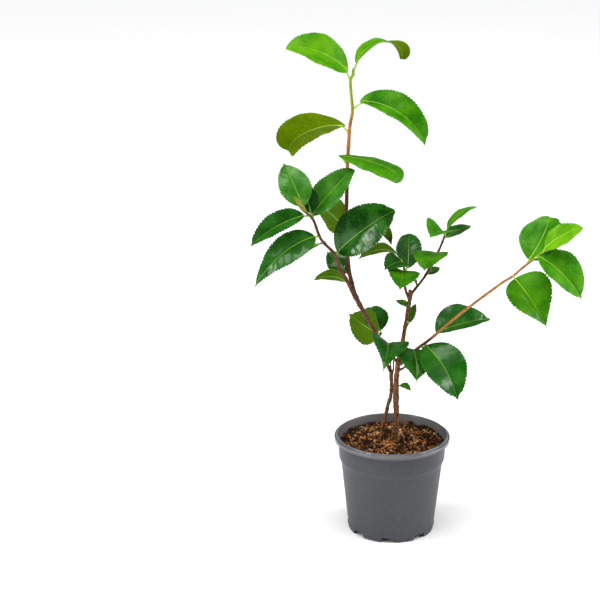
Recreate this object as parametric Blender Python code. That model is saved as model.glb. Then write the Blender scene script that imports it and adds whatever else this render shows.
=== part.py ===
"""A young camellia in a grey nursery pot, as an assembly of separate solids.

Metres, +Z up. The origin is the middle of the pot's underside, +X is to the
right of the plant's front and -Y is its front. Stems are tapering tubes along
smooth curves through a few joints. Every leaf is one blade on a stalk, turned
and bent by named angles, and each spray of leaves is fused to its own twig.
"""
import math

import bmesh
import bpy
from mathutils import Quaternion, Vector

MM = 0.001
UP = Vector((0, 0, 1))

# Clear space between two pieces that touch on the real plant.
GAP = 0.3 * MM

# Pot: a moulded pot, 12 cm across its rim.
RIM_RADIUS = 60 * MM
POT_HEIGHT = 104 * MM
WALL = 1.1 * MM
LIP_WIDTH = 4.3 * MM
LIP_DEPTH = 6 * MM
COLLAR_BOTTOM_Z = 79 * MM
COLLAR_TAPER = 0.9 * MM
SHOULDER_Z = 74 * MM
SHOULDER_STEP = 2.3 * MM
SKIRT_HEIGHT = 6 * MM
SKIRT_RADIUS = 45.5 * MM
SKIRT_STEP = 0.5 * MM
SKIRT_DRAFT = 1.2 * MM
POT_SIDES = 40
PAD_RADIUS = 12 * MM
FOOT_COUNT = 8
NOTCH_BOTTOM_WIDTH = 16.5 * MM
NOTCH_TOP_WIDTH = 13 * MM
FIRST_NOTCH_ANGLE = math.radians(-96)
DRAIN_RADIUS = 4 * MM
DRAIN_RING_RADIUS = 26 * MM

# Compost: filled to a little below the lip.
COMPOST_TOP = 96.7 * MM
COMPOST_FLAT_RADIUS = 24 * MM
COMPOST_EDGE_DROP = 1.5 * MM
GROUND = COMPOST_TOP + GAP

# Stems.
STEM_SIDES = 8
TWIG_SIDES = 6
CURVE_STEPS = 6
STALK_SIDES = 4
STALK_SINK = 0.12

# Leaves.
BLADE_STEP = 9 * MM
BLADE_COLUMNS = (-1, 0, 1)
THICKNESS_RATIO = 0.012
STALK_RADIUS = 1.0 * MM
BLADE_WIDEST = 0.42
BLADE_BASE_POWER = 0.72
TOOTH_MARGIN = 0.8 * MM
BEND_STEPS = 24

# Colours, as linear red, green and blue, with the surface's roughness.
FINISHES = {
    "pot_plastic": ((0.13, 0.135, 0.14), 0.45),
    "compost": ((0.035, 0.018, 0.010), 0.95),
    "bark": ((0.16, 0.065, 0.03), 0.7),
    "leaf": ((0.03, 0.16, 0.02), 0.3),
    "young_leaf": ((0.07, 0.27, 0.02), 0.35),
}


def clear_scene():
    """Remove every object that the file opened with."""
    for old in list(bpy.data.objects):
        bpy.data.objects.remove(old, do_unlink=True)


def material(slot):
    """The Principled material of a finish, made once."""
    found = bpy.data.materials.get(slot)
    if found:
        return found
    colour, roughness = FINISHES[slot]
    made = bpy.data.materials.new(slot)
    made.use_nodes = True
    shader = made.node_tree.nodes["Principled BSDF"]
    shader.inputs["Base Color"].default_value = (*colour, 1)
    shader.inputs["Roughness"].default_value = roughness
    shader.inputs["Metallic"].default_value = 0
    return made


def new_object(name, shape, slot):
    """Turn a bmesh into a named object with its material, faces pointing out."""
    bmesh.ops.triangulate(shape, faces=shape.faces)
    bmesh.ops.recalc_face_normals(shape, faces=shape.faces)
    mesh = bpy.data.meshes.new(name)
    shape.to_mesh(mesh)
    shape.free()
    mesh.materials.append(material(slot))
    made = bpy.data.objects.new(name, mesh)
    bpy.context.scene.collection.objects.link(made)
    return made


def combine(base, operation, tools):
    """Apply one Boolean of a collection of tools to base, then drop the tools."""
    group = bpy.data.collections.new("tools")
    bpy.context.scene.collection.children.link(group)
    for tool in tools:
        bpy.context.scene.collection.objects.unlink(tool)
        group.objects.link(tool)
    boolean = base.modifiers.new("boolean", "BOOLEAN")
    boolean.operation = operation
    boolean.operand_type = "COLLECTION"
    boolean.collection = group
    boolean.solver = "EXACT"
    bpy.context.view_layer.update()
    graph = bpy.context.evaluated_depsgraph_get()
    joined = bpy.data.meshes.new_from_object(base.evaluated_get(graph))
    base.modifiers.clear()
    base.data = joined
    for tool in tools:
        bpy.data.objects.remove(tool, do_unlink=True)
    bpy.data.collections.remove(group)
    return base


# Pot and compost

def turned(name, profile, slot):
    """A solid of revolution about Z from a closed profile of (radius, z)."""
    shape = bmesh.new()
    rings = []
    for radius, z in profile:
        if radius == 0:
            rings.append([shape.verts.new((0, 0, z))])
            continue
        ring = []
        for index in range(POT_SIDES):
            angle = math.tau * index / POT_SIDES
            ring.append(shape.verts.new((radius * math.cos(angle), radius * math.sin(angle), z)))
        rings.append(ring)
    for lower, upper in zip(rings, rings[1:]):
        for index in range(POT_SIDES):
            after = (index + 1) % POT_SIDES
            corners = [lower[index % len(lower)], lower[after % len(lower)],
                       upper[after % len(upper)], upper[index % len(upper)]]
            shape.faces.new(list(dict.fromkeys(corners)))
    return new_object(name, shape, slot)


def inner_radius(z):
    """Radius of the inside of the pot's wall at a height."""
    collar_top = RIM_RADIUS - LIP_WIDTH - WALL
    collar_bottom = collar_top - COLLAR_TAPER
    shoulder = collar_bottom - SHOULDER_STEP
    foot = SKIRT_RADIUS - SKIRT_STEP - WALL
    if z >= COLLAR_BOTTOM_Z:
        share = (z - COLLAR_BOTTOM_Z) / (POT_HEIGHT - LIP_DEPTH - COLLAR_BOTTOM_Z)
        return collar_bottom + (collar_top - collar_bottom) * share
    if z >= SHOULDER_Z:
        share = (z - SHOULDER_Z) / (COLLAR_BOTTOM_Z - SHOULDER_Z)
        return shoulder + (collar_bottom - shoulder) * share
    return foot + (shoulder - foot) * (z - SKIRT_HEIGHT) / (SHOULDER_Z - SKIRT_HEIGHT)


def pot_profile():
    """The pot's cut wall, from the pad under its floor round to the pad again."""
    lip_bottom = POT_HEIGHT - LIP_DEPTH
    round_over = 1.2 * MM
    inner_edge = RIM_RADIUS - LIP_WIDTH
    floor_top = SKIRT_HEIGHT + WALL
    return [
        (0, 0),
        (PAD_RADIUS, 0),
        (PAD_RADIUS, SKIRT_HEIGHT),
        (SKIRT_RADIUS - SKIRT_DRAFT - 2 * WALL, SKIRT_HEIGHT),
        (SKIRT_RADIUS - SKIRT_DRAFT - 2 * WALL, 0),
        (SKIRT_RADIUS - SKIRT_DRAFT, 0),
        (SKIRT_RADIUS, SKIRT_HEIGHT - 0.4 * MM),
        (SKIRT_RADIUS - SKIRT_STEP, SKIRT_HEIGHT),
        (inner_radius(SHOULDER_Z) + WALL, SHOULDER_Z),
        (inner_radius(COLLAR_BOTTOM_Z) + WALL, COLLAR_BOTTOM_Z),
        (inner_radius(lip_bottom) + WALL, POT_HEIGHT - 2 * WALL),
        (RIM_RADIUS - WALL, POT_HEIGHT - 2 * WALL),
        (RIM_RADIUS - WALL, lip_bottom),
        (RIM_RADIUS - 0.3 * MM, lip_bottom),
        (RIM_RADIUS, POT_HEIGHT - round_over),
        (RIM_RADIUS - round_over, POT_HEIGHT),
        (inner_edge + round_over, POT_HEIGHT),
        (inner_edge, POT_HEIGHT - round_over),
        (inner_radius(lip_bottom), lip_bottom),
        (inner_radius(COLLAR_BOTTOM_Z), COLLAR_BOTTOM_Z),
        (inner_radius(SHOULDER_Z), SHOULDER_Z),
        (inner_radius(floor_top), floor_top),
        (0, floor_top),
    ]


def notch(angle):
    """A cutter that opens the skirt between two feet, wider at the ground."""
    shape = bmesh.new()
    outward = Vector((math.cos(angle), math.sin(angle), 0))
    across = UP.cross(outward)
    overrun = 3 * MM
    levels = ((-overrun, NOTCH_BOTTOM_WIDTH), (SKIRT_HEIGHT - 0.5 * MM, NOTCH_TOP_WIDTH))
    rings = []
    for z, width in levels:
        corners = []
        for reach, side in ((-1, -1), (1, -1), (1, 1), (-1, 1)):
            radius = SKIRT_RADIUS - 3 * MM + reach * 8 * MM
            corners.append(shape.verts.new(outward * radius + across * side * width / 2 + UP * z))
        rings.append(corners)
    shape.faces.new(rings[0])
    shape.faces.new(rings[1])
    for index in range(4):
        after = (index + 1) % 4
        shape.faces.new((rings[0][index], rings[0][after], rings[1][after], rings[1][index]))
    return new_object("notch", shape, "pot_plastic")


def drain_hole(angle):
    """A cutter for one round drain hole through the pot's floor."""
    shape = bmesh.new()
    bmesh.ops.create_cone(shape, cap_ends=True, segments=12, radius1=DRAIN_RADIUS,
                          radius2=DRAIN_RADIUS, depth=4 * SKIRT_HEIGHT)
    place = Vector((math.cos(angle), math.sin(angle), 0)) * DRAIN_RING_RADIUS
    bmesh.ops.translate(shape, verts=shape.verts, vec=place)
    return new_object("drain hole", shape, "pot_plastic")


def make_pot():
    """The pot, with its rolled lip, collar, notched skirt and drain holes."""
    pot = turned("pot", pot_profile(), "pot_plastic")
    cutters = []
    for index in range(FOOT_COUNT):
        angle = FIRST_NOTCH_ANGLE + math.tau * index / FOOT_COUNT
        cutters.append(notch(angle))
        cutters.append(drain_hole(angle + math.tau / FOOT_COUNT / 2))
    return combine(pot, "DIFFERENCE", cutters)


def make_compost():
    """The compost that fills the pot, level round the stems and lower at its edge."""
    edge_z = COMPOST_TOP - COMPOST_EDGE_DROP
    floor_z = SKIRT_HEIGHT + WALL + GAP
    profile = [(0, floor_z)]
    for z in (floor_z, SHOULDER_Z, COLLAR_BOTTOM_Z, edge_z):
        profile.append((inner_radius(z) - GAP, z))
    profile.append((COMPOST_FLAT_RADIUS, COMPOST_TOP))
    profile.append((0, COMPOST_TOP))
    return turned("compost", profile, "compost")


# Stems

class Limb:
    """A stem along a smooth curve through joints of (x, y, z, radius) in millimetres."""

    def __init__(self, *joints):
        self.points = []
        self.radii = []
        places = [Vector(joint[:3]) * MM for joint in joints]
        widths = [joint[3] * MM for joint in joints]
        last = len(joints) - 1
        for index in range(last):
            before = places[max(index - 1, 0)]
            start = places[index]
            end = places[index + 1]
            after = places[min(index + 2, last)]
            for step in range(CURVE_STEPS):
                share = step / CURVE_STEPS
                self.points.append(smooth(before, start, end, after, share))
                self.radii.append(widths[index] + (widths[index + 1] - widths[index]) * share)
        self.points.append(places[-1])
        self.radii.append(widths[-1])
        self.joint_count = len(joints)
        self.lengths = [0]
        for start, end in zip(self.points, self.points[1:]):
            self.lengths.append(self.lengths[-1] + (end - start).length)

    def place(self, fraction):
        """Point, direction and radius at a fraction of the limb's length."""
        wanted = fraction * self.lengths[-1]
        index = 0
        while index < len(self.points) - 2 and self.lengths[index + 1] < wanted:
            index += 1
        start = self.points[index]
        end = self.points[index + 1]
        share = (wanted - self.lengths[index]) / (end - start).length
        radius = self.radii[index] + (self.radii[index + 1] - self.radii[index]) * share
        return start.lerp(end, share), (end - start).normalized(), radius


def smooth(before, start, end, after, share):
    """A point between start and end on the curve that also heeds its neighbours."""
    leave = (end - before) / 2
    arrive = (after - start) / 2
    return (start * (2 * share ** 3 - 3 * share ** 2 + 1)
            + leave * (share ** 3 - 2 * share ** 2 + share)
            + end * (3 * share ** 2 - 2 * share ** 3)
            + arrive * (share ** 3 - share ** 2))


def tube(name, points, radii, sides, slot, level_foot=False):
    """A closed tapering tube along points, cut level at its start where it has a foot."""
    shape = bmesh.new()
    tangents = []
    for index in range(len(points)):
        ahead = points[min(index + 1, len(points) - 1)]
        behind = points[max(index - 1, 0)]
        tangents.append((ahead - behind).normalized())
    if level_foot:
        tangents[0] = UP
    across = tangents[0].orthogonal().normalized()
    rings = []
    for point, tangent, radius in zip(points, tangents, radii):
        across = (across - tangent * across.dot(tangent)).normalized()
        other = tangent.cross(across)
        ring = []
        for side in range(sides):
            angle = math.tau * side / sides
            offset = across * math.cos(angle) + other * math.sin(angle)
            ring.append(shape.verts.new(point + offset * radius))
        rings.append(ring)
    for lower, upper in zip(rings, rings[1:]):
        for side in range(sides):
            after = (side + 1) % sides
            shape.faces.new((lower[side], lower[after], upper[after], upper[side]))
    shape.faces.new(rings[0])
    shape.faces.new(rings[-1])
    return new_object(name, shape, slot)


def limb_tube(name, limb, sides, slot, extra=0, level_foot=False, steps_per_joint=2):
    """A limb as a tube, or, with extra radius, the cutter that clears it."""
    count = (limb.joint_count - 1) * steps_per_joint
    points = []
    radii = []
    for index in range(count + 1):
        point, direction, radius = limb.place(index / count)
        points.append(point)
        radii.append(radius + extra)
    if extra:
        points[0] = points[0] - (points[1] - points[0]).normalized() * extra
        points[-1] = points[-1] + (points[-1] - points[-2]).normalized() * extra
    return tube(name, points, radii, sides, slot, level_foot)


def cut_clear(piece, parents, sides=STEM_SIDES):
    """Trim a piece to stand the usual gap off the limbs that carry it."""
    tools = []
    for parent in parents:
        tools.append(limb_tube("clearance", parent, sides, "bark", extra=GAP))
    return combine(piece, "DIFFERENCE", tools)


# Leaves

class Leaf:
    """One leaf: sizes in millimetres, angles in degrees.

    at is the place along its stem. heading turns the leaf about Z from +X, rise
    lifts its tip, roll leans its upper face to the right of its own direction.
    arch bends the midrib down, hook bends only the tip, sweep bends it to the
    right, fold lifts both halves and widest is the share of the length where
    the blade is widest.
    """

    def __init__(self, at, heading, rise, length, width, roll=0, arch=30, fold=10, hook=0,
                 sweep=0, widest=BLADE_WIDEST, stalk=7, stalk_heading=None, stalk_rise=None):
        self.at = at
        self.heading = math.radians(heading)
        self.rise = math.radians(rise)
        self.length = length * MM
        self.width = width * MM
        self.roll = math.radians(roll)
        self.arch = math.radians(arch)
        self.fold = math.radians(fold)
        self.hook = math.radians(hook)
        self.sweep = math.radians(sweep)
        self.widest = widest
        self.stalk = stalk * MM
        self.stalk_heading = math.radians(heading if stalk_heading is None else stalk_heading)
        self.stalk_rise = math.radians(rise + arch / 2 if stalk_rise is None else stalk_rise)

    def direction(self, share):
        """The midrib's direction and the blade's own right and up at a share of its length."""
        along = aim(self.heading, self.rise)
        right = along.cross(UP).normalized()
        right.rotate(Quaternion(along, self.roll))
        out = right.cross(along)
        tip_share = max(0.0, (share - 0.7) / 0.3)
        bend = self.arch * (0.5 - share) - self.hook * tip_share ** 2
        turn = self.sweep * (share - 0.5)
        tangent = along * math.cos(bend) * math.cos(turn)
        tangent += out * math.sin(bend) + right * math.cos(bend) * math.sin(turn)
        tangent.normalize()
        right = (right - tangent * right.dot(tangent)).normalized()
        return tangent, right, right.cross(tangent)

    def midrib(self, base, share):
        """A point on the midrib, found by walking along its bends from the base."""
        point = base.copy()
        step = share / BEND_STEPS
        for index in range(BEND_STEPS):
            tangent, right, out = self.direction((index + 0.5) * step)
            point += tangent * self.length * step
        return point

    def half_width(self, share):
        """Half of the blade's width: rounded at the base and drawn to a point."""
        tip_power = BLADE_BASE_POWER * (1 - self.widest) / self.widest
        peak = self.widest ** BLADE_BASE_POWER * (1 - self.widest) ** tip_power
        return self.width / 2 * share ** BLADE_BASE_POWER * (1 - share) ** tip_power / peak

    def blade_point(self, base, share, column):
        """A point in the middle of the blade's thickness, column -1 to 1 across it."""
        tangent, right, out = self.direction(share)
        reach = self.half_width(share) + TOOTH_MARGIN
        across = right * column * reach * math.cos(self.fold)
        lift = out * abs(column) * reach * math.sin(self.fold)
        return self.midrib(base, share) + across + lift, out


def aim(heading, rise):
    """The unit direction of a heading and a rise."""
    level = Vector((math.cos(heading), math.sin(heading), 0))
    return level * math.cos(rise) + UP * math.sin(rise)


def make_blade(leaf, base, slot):
    """A leaf's blade as a thin closed solid."""
    shape = bmesh.new()
    count = max(4, round(leaf.length / BLADE_STEP))
    half = leaf.length * THICKNESS_RATIO / 2
    layers = {1: [], -1: []}
    for index in range(count + 1):
        share = index / count
        columns = BLADE_COLUMNS if 0 < index < count else (0,)
        for face in layers:
            row = []
            for column in columns:
                point, out = leaf.blade_point(base, share, column)
                row.append(shape.verts.new(point + out * half * face))
            layers[face].append(row)
    for rows in layers.values():
        for near, far in zip(rows, rows[1:]):
            widest = max(len(near), len(far))
            for column in range(widest - 1):
                corners = [near[min(column, len(near) - 1)], near[min(column + 1, len(near) - 1)],
                           far[min(column + 1, len(far) - 1)], far[min(column, len(far) - 1)]]
                shape.faces.new(list(dict.fromkeys(corners)))
    for edge in (0, -1):
        for index in range(count):
            top = layers[1]
            bottom = layers[-1]
            shape.faces.new((top[index][edge], top[index + 1][edge],
                             bottom[index + 1][edge], bottom[index][edge]))
    return new_object("blade", shape, slot)


def make_leaf(limb, leaf, slot):
    """A leaf's stalk and blade, the stalk's root at the middle of its stem."""
    root, direction, radius = limb.place(leaf.at)
    base = root + aim(leaf.stalk_heading, leaf.stalk_rise) * leaf.stalk
    sunk = leaf.midrib(base, STALK_SINK)
    thin = 0.6 * STALK_RADIUS
    stalk = tube("stalk", [root, base, sunk], [STALK_RADIUS, STALK_RADIUS, thin], STALK_SIDES, slot)
    return [stalk, make_blade(leaf, base, slot)]


def make_bud(limb, at, heading, rise, length, width, slot):
    """A slim pointed bud, its root at the middle of its stem."""
    root, direction, radius = limb.place(at)
    along = aim(math.radians(heading), math.radians(rise))
    shares = (0, 0.3, 0.6, 0.85, 1)
    widths = (0.5, 0.9, 1, 0.6, 0.15)
    points = [root + along * length * MM * share for share in shares]
    radii = [width * MM / 2 * share for share in widths]
    return tube("bud", points, radii, TWIG_SIDES, slot)


def make_spray(name, stem, leaves, parents, slot="leaf", buds=()):
    """A twig with its leaves and buds fused on, trimmed clear of what carries it."""
    twig = limb_tube(name, stem, TWIG_SIDES, slot)
    pieces = []
    for leaf in leaves:
        pieces.extend(make_leaf(stem, leaf, slot))
    for bud in buds:
        pieces.append(make_bud(stem, *bud, slot))
    combine(twig, "UNION", pieces)
    return cut_clear(twig, parents)


def make_lone_leaf(name, limb, leaf, slot="leaf"):
    """A leaf that stands straight on a limb, trimmed clear of it."""
    stalk, blade = make_leaf(limb, leaf, slot)
    stalk.name = name
    combine(stalk, "UNION", [blade])
    return cut_clear(stalk, [limb])


# The plant's stems, as joints of (x, y, z, radius) in millimetres

FOOT = GROUND / MM
main_stem = Limb(
    (2.9, -4, FOOT, 3.9), (3.1, -3.8, 104, 3.4), (3.9, -3, 127, 3.1), (3.2, -2, 157, 2.8),
    (5.2, -2, 184, 2.4), (9, 0, 204, 2.1), (13.1, 2, 229, 2.0), (16.2, 4, 251, 2.2), (16.4, 4.2, 258.5, 1.9))
second_stem = Limb(
    (-12.2, 0, FOOT, 2.6), (-9.8, 0, 108, 2.1), (-5.2, 1, 133, 1.9), (-1.5, 2.4, 148, 1.8),
    (-1.9, 4, 170.5, 2.0))
left_bough = Limb(
    (-2.2, 4, 171.2, 1.9), (-5.1, 4, 177, 1.8), (-12, 1.5, 199, 1.9), (-20.6, 0, 219, 2.1),
    (-29.6, -5, 237, 2.2), (-40.8, -10, 259.6, 2.7))
leader = Limb(
    (-40.2, -9.8, 258.6, 2.3), (-46.3, -5, 284.5, 2.1), (-48.3, 1, 313.6, 2.0), (-48.9, 5, 345, 1.9),
    (-48.3, 9, 381.5, 1.9))
left_branch = Limb((-41.6, -12.6, 261, 2.2), (-48, -14.5, 275, 1.9), (-56, -18, 289, 1.7))
right_bough = Limb(
    (7, -3, 181.6, 2.0), (14, -6, 190, 1.8), (25.6, -10, 202.6, 1.6), (39.2, -15, 215.7, 1.5),
    (69.2, -25, 247, 1.4), (106.7, -35, 281.1, 1.35))

# The twigs that carry the sprays

leader_twig = Limb(
    (-48.3, 9, 381.8, 1.9), (-48.2, 10, 389.1, 1.9), (-46.2, 12, 426.6, 1.8), (-43.6, 13, 444, 1.6),
    (-45.8, 14, 472.2, 1.5), (-42.6, 15, 480.5, 1.3))
left_twig = Limb(
    (-56.2, -18.1, 289.3, 1.6), (-60.4, -24, 305.6, 1.6), (-74.8, -31, 324.2, 1.4),
    (-82.4, -36, 345.2, 1.3), (-91.5, -38.5, 355.5, 1.1))
centre_left_twig = Limb((15.6, 4, 250, 1.7), (12, 7, 258, 1.3), (11, 10, 267, 1.2), (9.8, 15, 287.5, 1.1))
centre_right_twig = Limb(
    (16.8, 4.4, 250, 1.8), (19, 7, 256, 1.4), (31.6, 15, 270.6, 1.3), (46, 23, 296, 1.2),
    (52.8, 30, 312, 1.0))
right_twig = Limb(
    (107, -35.1, 281.4, 1.25), (115.6, -37.5, 287.8, 1.2), (126.2, -40, 298.6, 1.2), (146.5, -45, 317.3, 1.0))
inner_left_twig = Limb((-15.6, 1, 209.5, 1.1), (-12.6, 4, 212.5, 1.0))
inner_front_twig = Limb((4.9, -2, 182, 1.5), (0, -4, 190, 1.2), (-4.2, -5, 197.4, 1.1), (-5.5, -7, 203, 1.0))
inner_right_twig = Limb((5, -3, 175, 1.5), (10.5, -5.5, 178.5, 1.1), (15.7, -7, 184, 1.0))
left_stub = Limb((-1.5, 5, 166, 0.9), (-2.2, 7.4, 176, 0.8), (-3.6, 7.8, 188, 0.7))
right_stub = Limb((-1, 3, 166, 0.9), (0.3, 1.2, 175, 0.8), (0.6, 1, 186, 0.7))


def build():
    """Make every piece of the plant and its pot."""
    clear_scene()
    make_pot()
    make_compost()

    limb_tube("main_stem", main_stem, STEM_SIDES, "bark", level_foot=True)
    limb_tube("second_stem", second_stem, STEM_SIDES, "bark", level_foot=True)
    cut_clear(limb_tube("left_bough", left_bough, STEM_SIDES, "bark"), [second_stem])
    cut_clear(limb_tube("leader", leader, STEM_SIDES, "bark"), [left_bough])
    cut_clear(limb_tube("left_branch", left_branch, STEM_SIDES, "bark"), [left_bough, leader])
    cut_clear(limb_tube("right_bough", right_bough, STEM_SIDES, "bark"), [main_stem])

    make_spray("leader_spray", leader_twig, [
        Leaf(0.90, -168, 24, 72, 43, roll=-38, arch=52, hook=45, sweep=-10, fold=12, widest=0.45, stalk=13,
             stalk_rise=78),
        Leaf(0.98, 33, 0, 75, 32, roll=-7, arch=112, hook=74, widest=0.60, stalk=13, stalk_rise=72),
        Leaf(0.63, -15, -31, 87, 37, roll=34, arch=84, hook=15, sweep=22, fold=27, widest=0.46, stalk=12,
             stalk_rise=52),
        Leaf(0.38, 147, -24, 82, 45, roll=43, arch=42, hook=90, sweep=15, fold=18, widest=0.66, stalk=10,
             stalk_rise=63),
        Leaf(0.08, -30, -9, 76, 34, roll=8, arch=14, fold=-10, hook=70, sweep=22, widest=0.66,
             stalk=14.5, stalk_heading=-158, stalk_rise=46),
    ], [leader], "young_leaf", [(0.99, 80, 80, 7, 3)])
    make_spray("left_spray", left_twig, [
        Leaf(0.97, 122, 44, 52, 33, roll=-20, arch=20, stalk=6, stalk_heading=138),
        Leaf(0.82, 24, 44, 66, 33, roll=36, arch=15, hook=60, fold=18, stalk=12, stalk_heading=100,
             stalk_rise=8),
        Leaf(0.86, 108, 41, 41, 22, arch=20, stalk=5),
        Leaf(0.90, -166, -27, 63, 28, roll=-42, arch=48, hook=10, sweep=-10, fold=32, stalk=6,
             stalk_rise=8),
        Leaf(0.58, -155, -34, 86, 32, roll=-42, arch=68, hook=15, sweep=-22, fold=10, widest=0.34, stalk=5,
             stalk_rise=8),
        Leaf(0.22, -7, 39, 74, 49, roll=62, arch=30, hook=25, sweep=8, fold=20, widest=0.47, stalk=4,
             stalk_rise=60),
        Leaf(0.45, 118, -30, 50, 28, arch=30, stalk=6),
    ], [left_branch], "leaf", [(0.98, 175, 55, 19, 5)])
    make_spray("centre_left_spray", centre_left_twig, [
        Leaf(0.73, 86, 31, 50, 27, arch=10, hook=25, fold=4, widest=0.50, stalk=5, stalk_heading=20,
             stalk_rise=30),
        Leaf(0.96, 145, -10, 61, 21, roll=45, arch=105, stalk=4, stalk_rise=20),
        Leaf(0.93, -125, 2, 35, 26, roll=-24, arch=50, fold=18, stalk=3),
        Leaf(0.72, -98, -8, 45, 34, roll=-10, arch=60, fold=11, stalk=5),
        Leaf(0.80, 20, -58, 22, 13, arch=30, stalk=4),
    ], [main_stem])
    make_spray("centre_right_spray", centre_right_twig, [
        Leaf(0.98, 25, 27, 42, 14, roll=4, arch=60, sweep=-6, stalk=7, stalk_heading=40, stalk_rise=66),
        Leaf(0.97, -116, 6, 37, 36, roll=-17, arch=40, fold=28, stalk=6, stalk_rise=49),
        Leaf(0.93, 40, 10, 36, 20, roll=5, arch=30, stalk=4, stalk_rise=-8),
        Leaf(0.72, -110, -8, 46, 35, roll=2, arch=50, fold=9, stalk=4),
        Leaf(0.36, 40, 12, 18, 11, roll=20, arch=20, stalk=4),
    ], [main_stem])
    make_spray("right_spray", right_twig, [
        Leaf(0.55, 52, 46, 57, 46, roll=8, arch=10, hook=80, sweep=-30, stalk=5, stalk_rise=51),
        Leaf(0.93, -9, 33, 45, 24, roll=45, arch=45, hook=40, widest=0.46,
             stalk=5, stalk_heading=-18, stalk_rise=70),
        Leaf(0.76, -19, -42, 61, 48, roll=24, arch=46, fold=18, stalk=5, stalk_heading=-50, stalk_rise=30),
        Leaf(0.22, -33, -50, 60, 54, roll=34, arch=40, fold=23, widest=0.31, stalk=5, stalk_heading=-80,
             stalk_rise=-20),
        Leaf(0.88, 70, -22, 42, 24, arch=30, stalk=5),
    ], [right_bough], "young_leaf", [(0.98, 0, 20, 6, 3)])
    make_spray("inner_left_spray", inner_left_twig, [
        Leaf(0.95, 144, 20, 40, 40, roll=95, arch=25, fold=0, sweep=-30, stalk=3, stalk_rise=0),
        Leaf(0.98, 103, 20, 44, 27, roll=-10, arch=20, hook=50, stalk=4),
    ], [left_bough])
    make_spray("inner_front_spray", inner_front_twig, [
        Leaf(0.95, -98, -14, 56, 44, roll=-15, arch=50, hook=5, fold=26, widest=0.27, stalk=6,
             stalk_rise=62),
        Leaf(0.45, 100, 40, 12, 7, arch=20, stalk=5, stalk_heading=36, stalk_rise=64),
    ], [main_stem])
    make_spray("inner_right_spray", inner_right_twig, [
        Leaf(0.95, -60, -20, 8, 5, arch=20, stalk=2),
    ], [main_stem, right_bough])
    for name, stub in (("left_stub", left_stub), ("right_stub", right_stub)):
        cut_clear(limb_tube(name, stub, TWIG_SIDES, "bark"), [second_stem, left_bough])

    make_lone_leaf("leader_left_leaf", leader,
                   Leaf(0.52, 130, 21, 50, 38, roll=95, arch=30, stalk=5))
    make_lone_leaf("leader_right_leaf", leader,
                   Leaf(0.56, 38, -28, 70, 28, roll=-25, arch=80, hook=30, stalk=5))
    make_lone_leaf("leader_low_leaf", leader,
                   Leaf(0.15, 128, 23, 36, 22, roll=-45, arch=20, stalk=6))
    make_lone_leaf("leader_back_leaf", leader,
                   Leaf(0.68, 75, -34, 46, 21, arch=30, stalk=6))
    make_lone_leaf("left_branch_leaf", left_branch,
                   Leaf(0.35, -175, 3, 36, 18, roll=55, arch=85, stalk=5))
    make_lone_leaf("main_stem_low_leaf", main_stem,
                   Leaf(0.36, -35, -14, 15, 9, roll=15, arch=80, stalk=6, stalk_rise=40))
    make_lone_leaf("main_stem_left_leaf", main_stem,
                   Leaf(0.88, 135, 14, 14, 12, arch=30, stalk=4, stalk_rise=40))
    make_lone_leaf("main_stem_right_leaf", main_stem,
                   Leaf(0.75, 60, 51, 22, 10, arch=20, stalk=8, stalk_heading=20, stalk_rise=52))
    make_lone_leaf("right_bough_inner_leaf", right_bough,
                   Leaf(0.13, -87, -32, 45, 46, roll=-14, arch=60, fold=8, widest=0.32, stalk=8,
                        stalk_rise=52))
    make_lone_leaf("right_bough_front_leaf", right_bough,
                   Leaf(0.20, -47, -45, 68, 49, roll=16, arch=58, sweep=8, fold=12, stalk=9,
                        stalk_heading=-40, stalk_rise=25))
    make_lone_leaf("right_bough_back_leaf", right_bough,
                   Leaf(0.29, 27, 4, 66, 46, roll=17, arch=28, fold=28, stalk=11, stalk_rise=36))
    make_lone_leaf("right_bough_under_leaf", right_bough,
                   Leaf(0.24, 35, -44, 48, 28, arch=30, stalk=6))


build()
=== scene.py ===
"""The looks of a young camellia in a grey nursery pot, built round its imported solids."""

import math
import random

import bmesh
import bpy
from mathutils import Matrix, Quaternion, Vector, noise


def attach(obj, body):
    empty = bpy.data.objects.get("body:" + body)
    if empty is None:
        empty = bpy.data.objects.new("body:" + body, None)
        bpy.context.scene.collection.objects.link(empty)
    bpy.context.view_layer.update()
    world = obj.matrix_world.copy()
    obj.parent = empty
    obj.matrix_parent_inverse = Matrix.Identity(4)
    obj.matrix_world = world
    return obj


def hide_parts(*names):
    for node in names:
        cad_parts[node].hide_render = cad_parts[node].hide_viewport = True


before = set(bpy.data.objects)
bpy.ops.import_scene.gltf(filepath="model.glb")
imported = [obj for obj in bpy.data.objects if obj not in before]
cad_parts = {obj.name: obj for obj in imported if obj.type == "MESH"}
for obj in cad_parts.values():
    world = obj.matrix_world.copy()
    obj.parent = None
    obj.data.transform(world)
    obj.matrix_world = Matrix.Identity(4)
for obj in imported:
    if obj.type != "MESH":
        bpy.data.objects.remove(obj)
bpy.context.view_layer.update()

# The pot
# A nursery pot of satin grey plastic, injection moulded in one piece, with a rolled lip, a
# short collar, a tapering wall and a skirt that is notched into eight feet. Its floor has a
# pad under the middle and a drain hole behind each foot.

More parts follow.
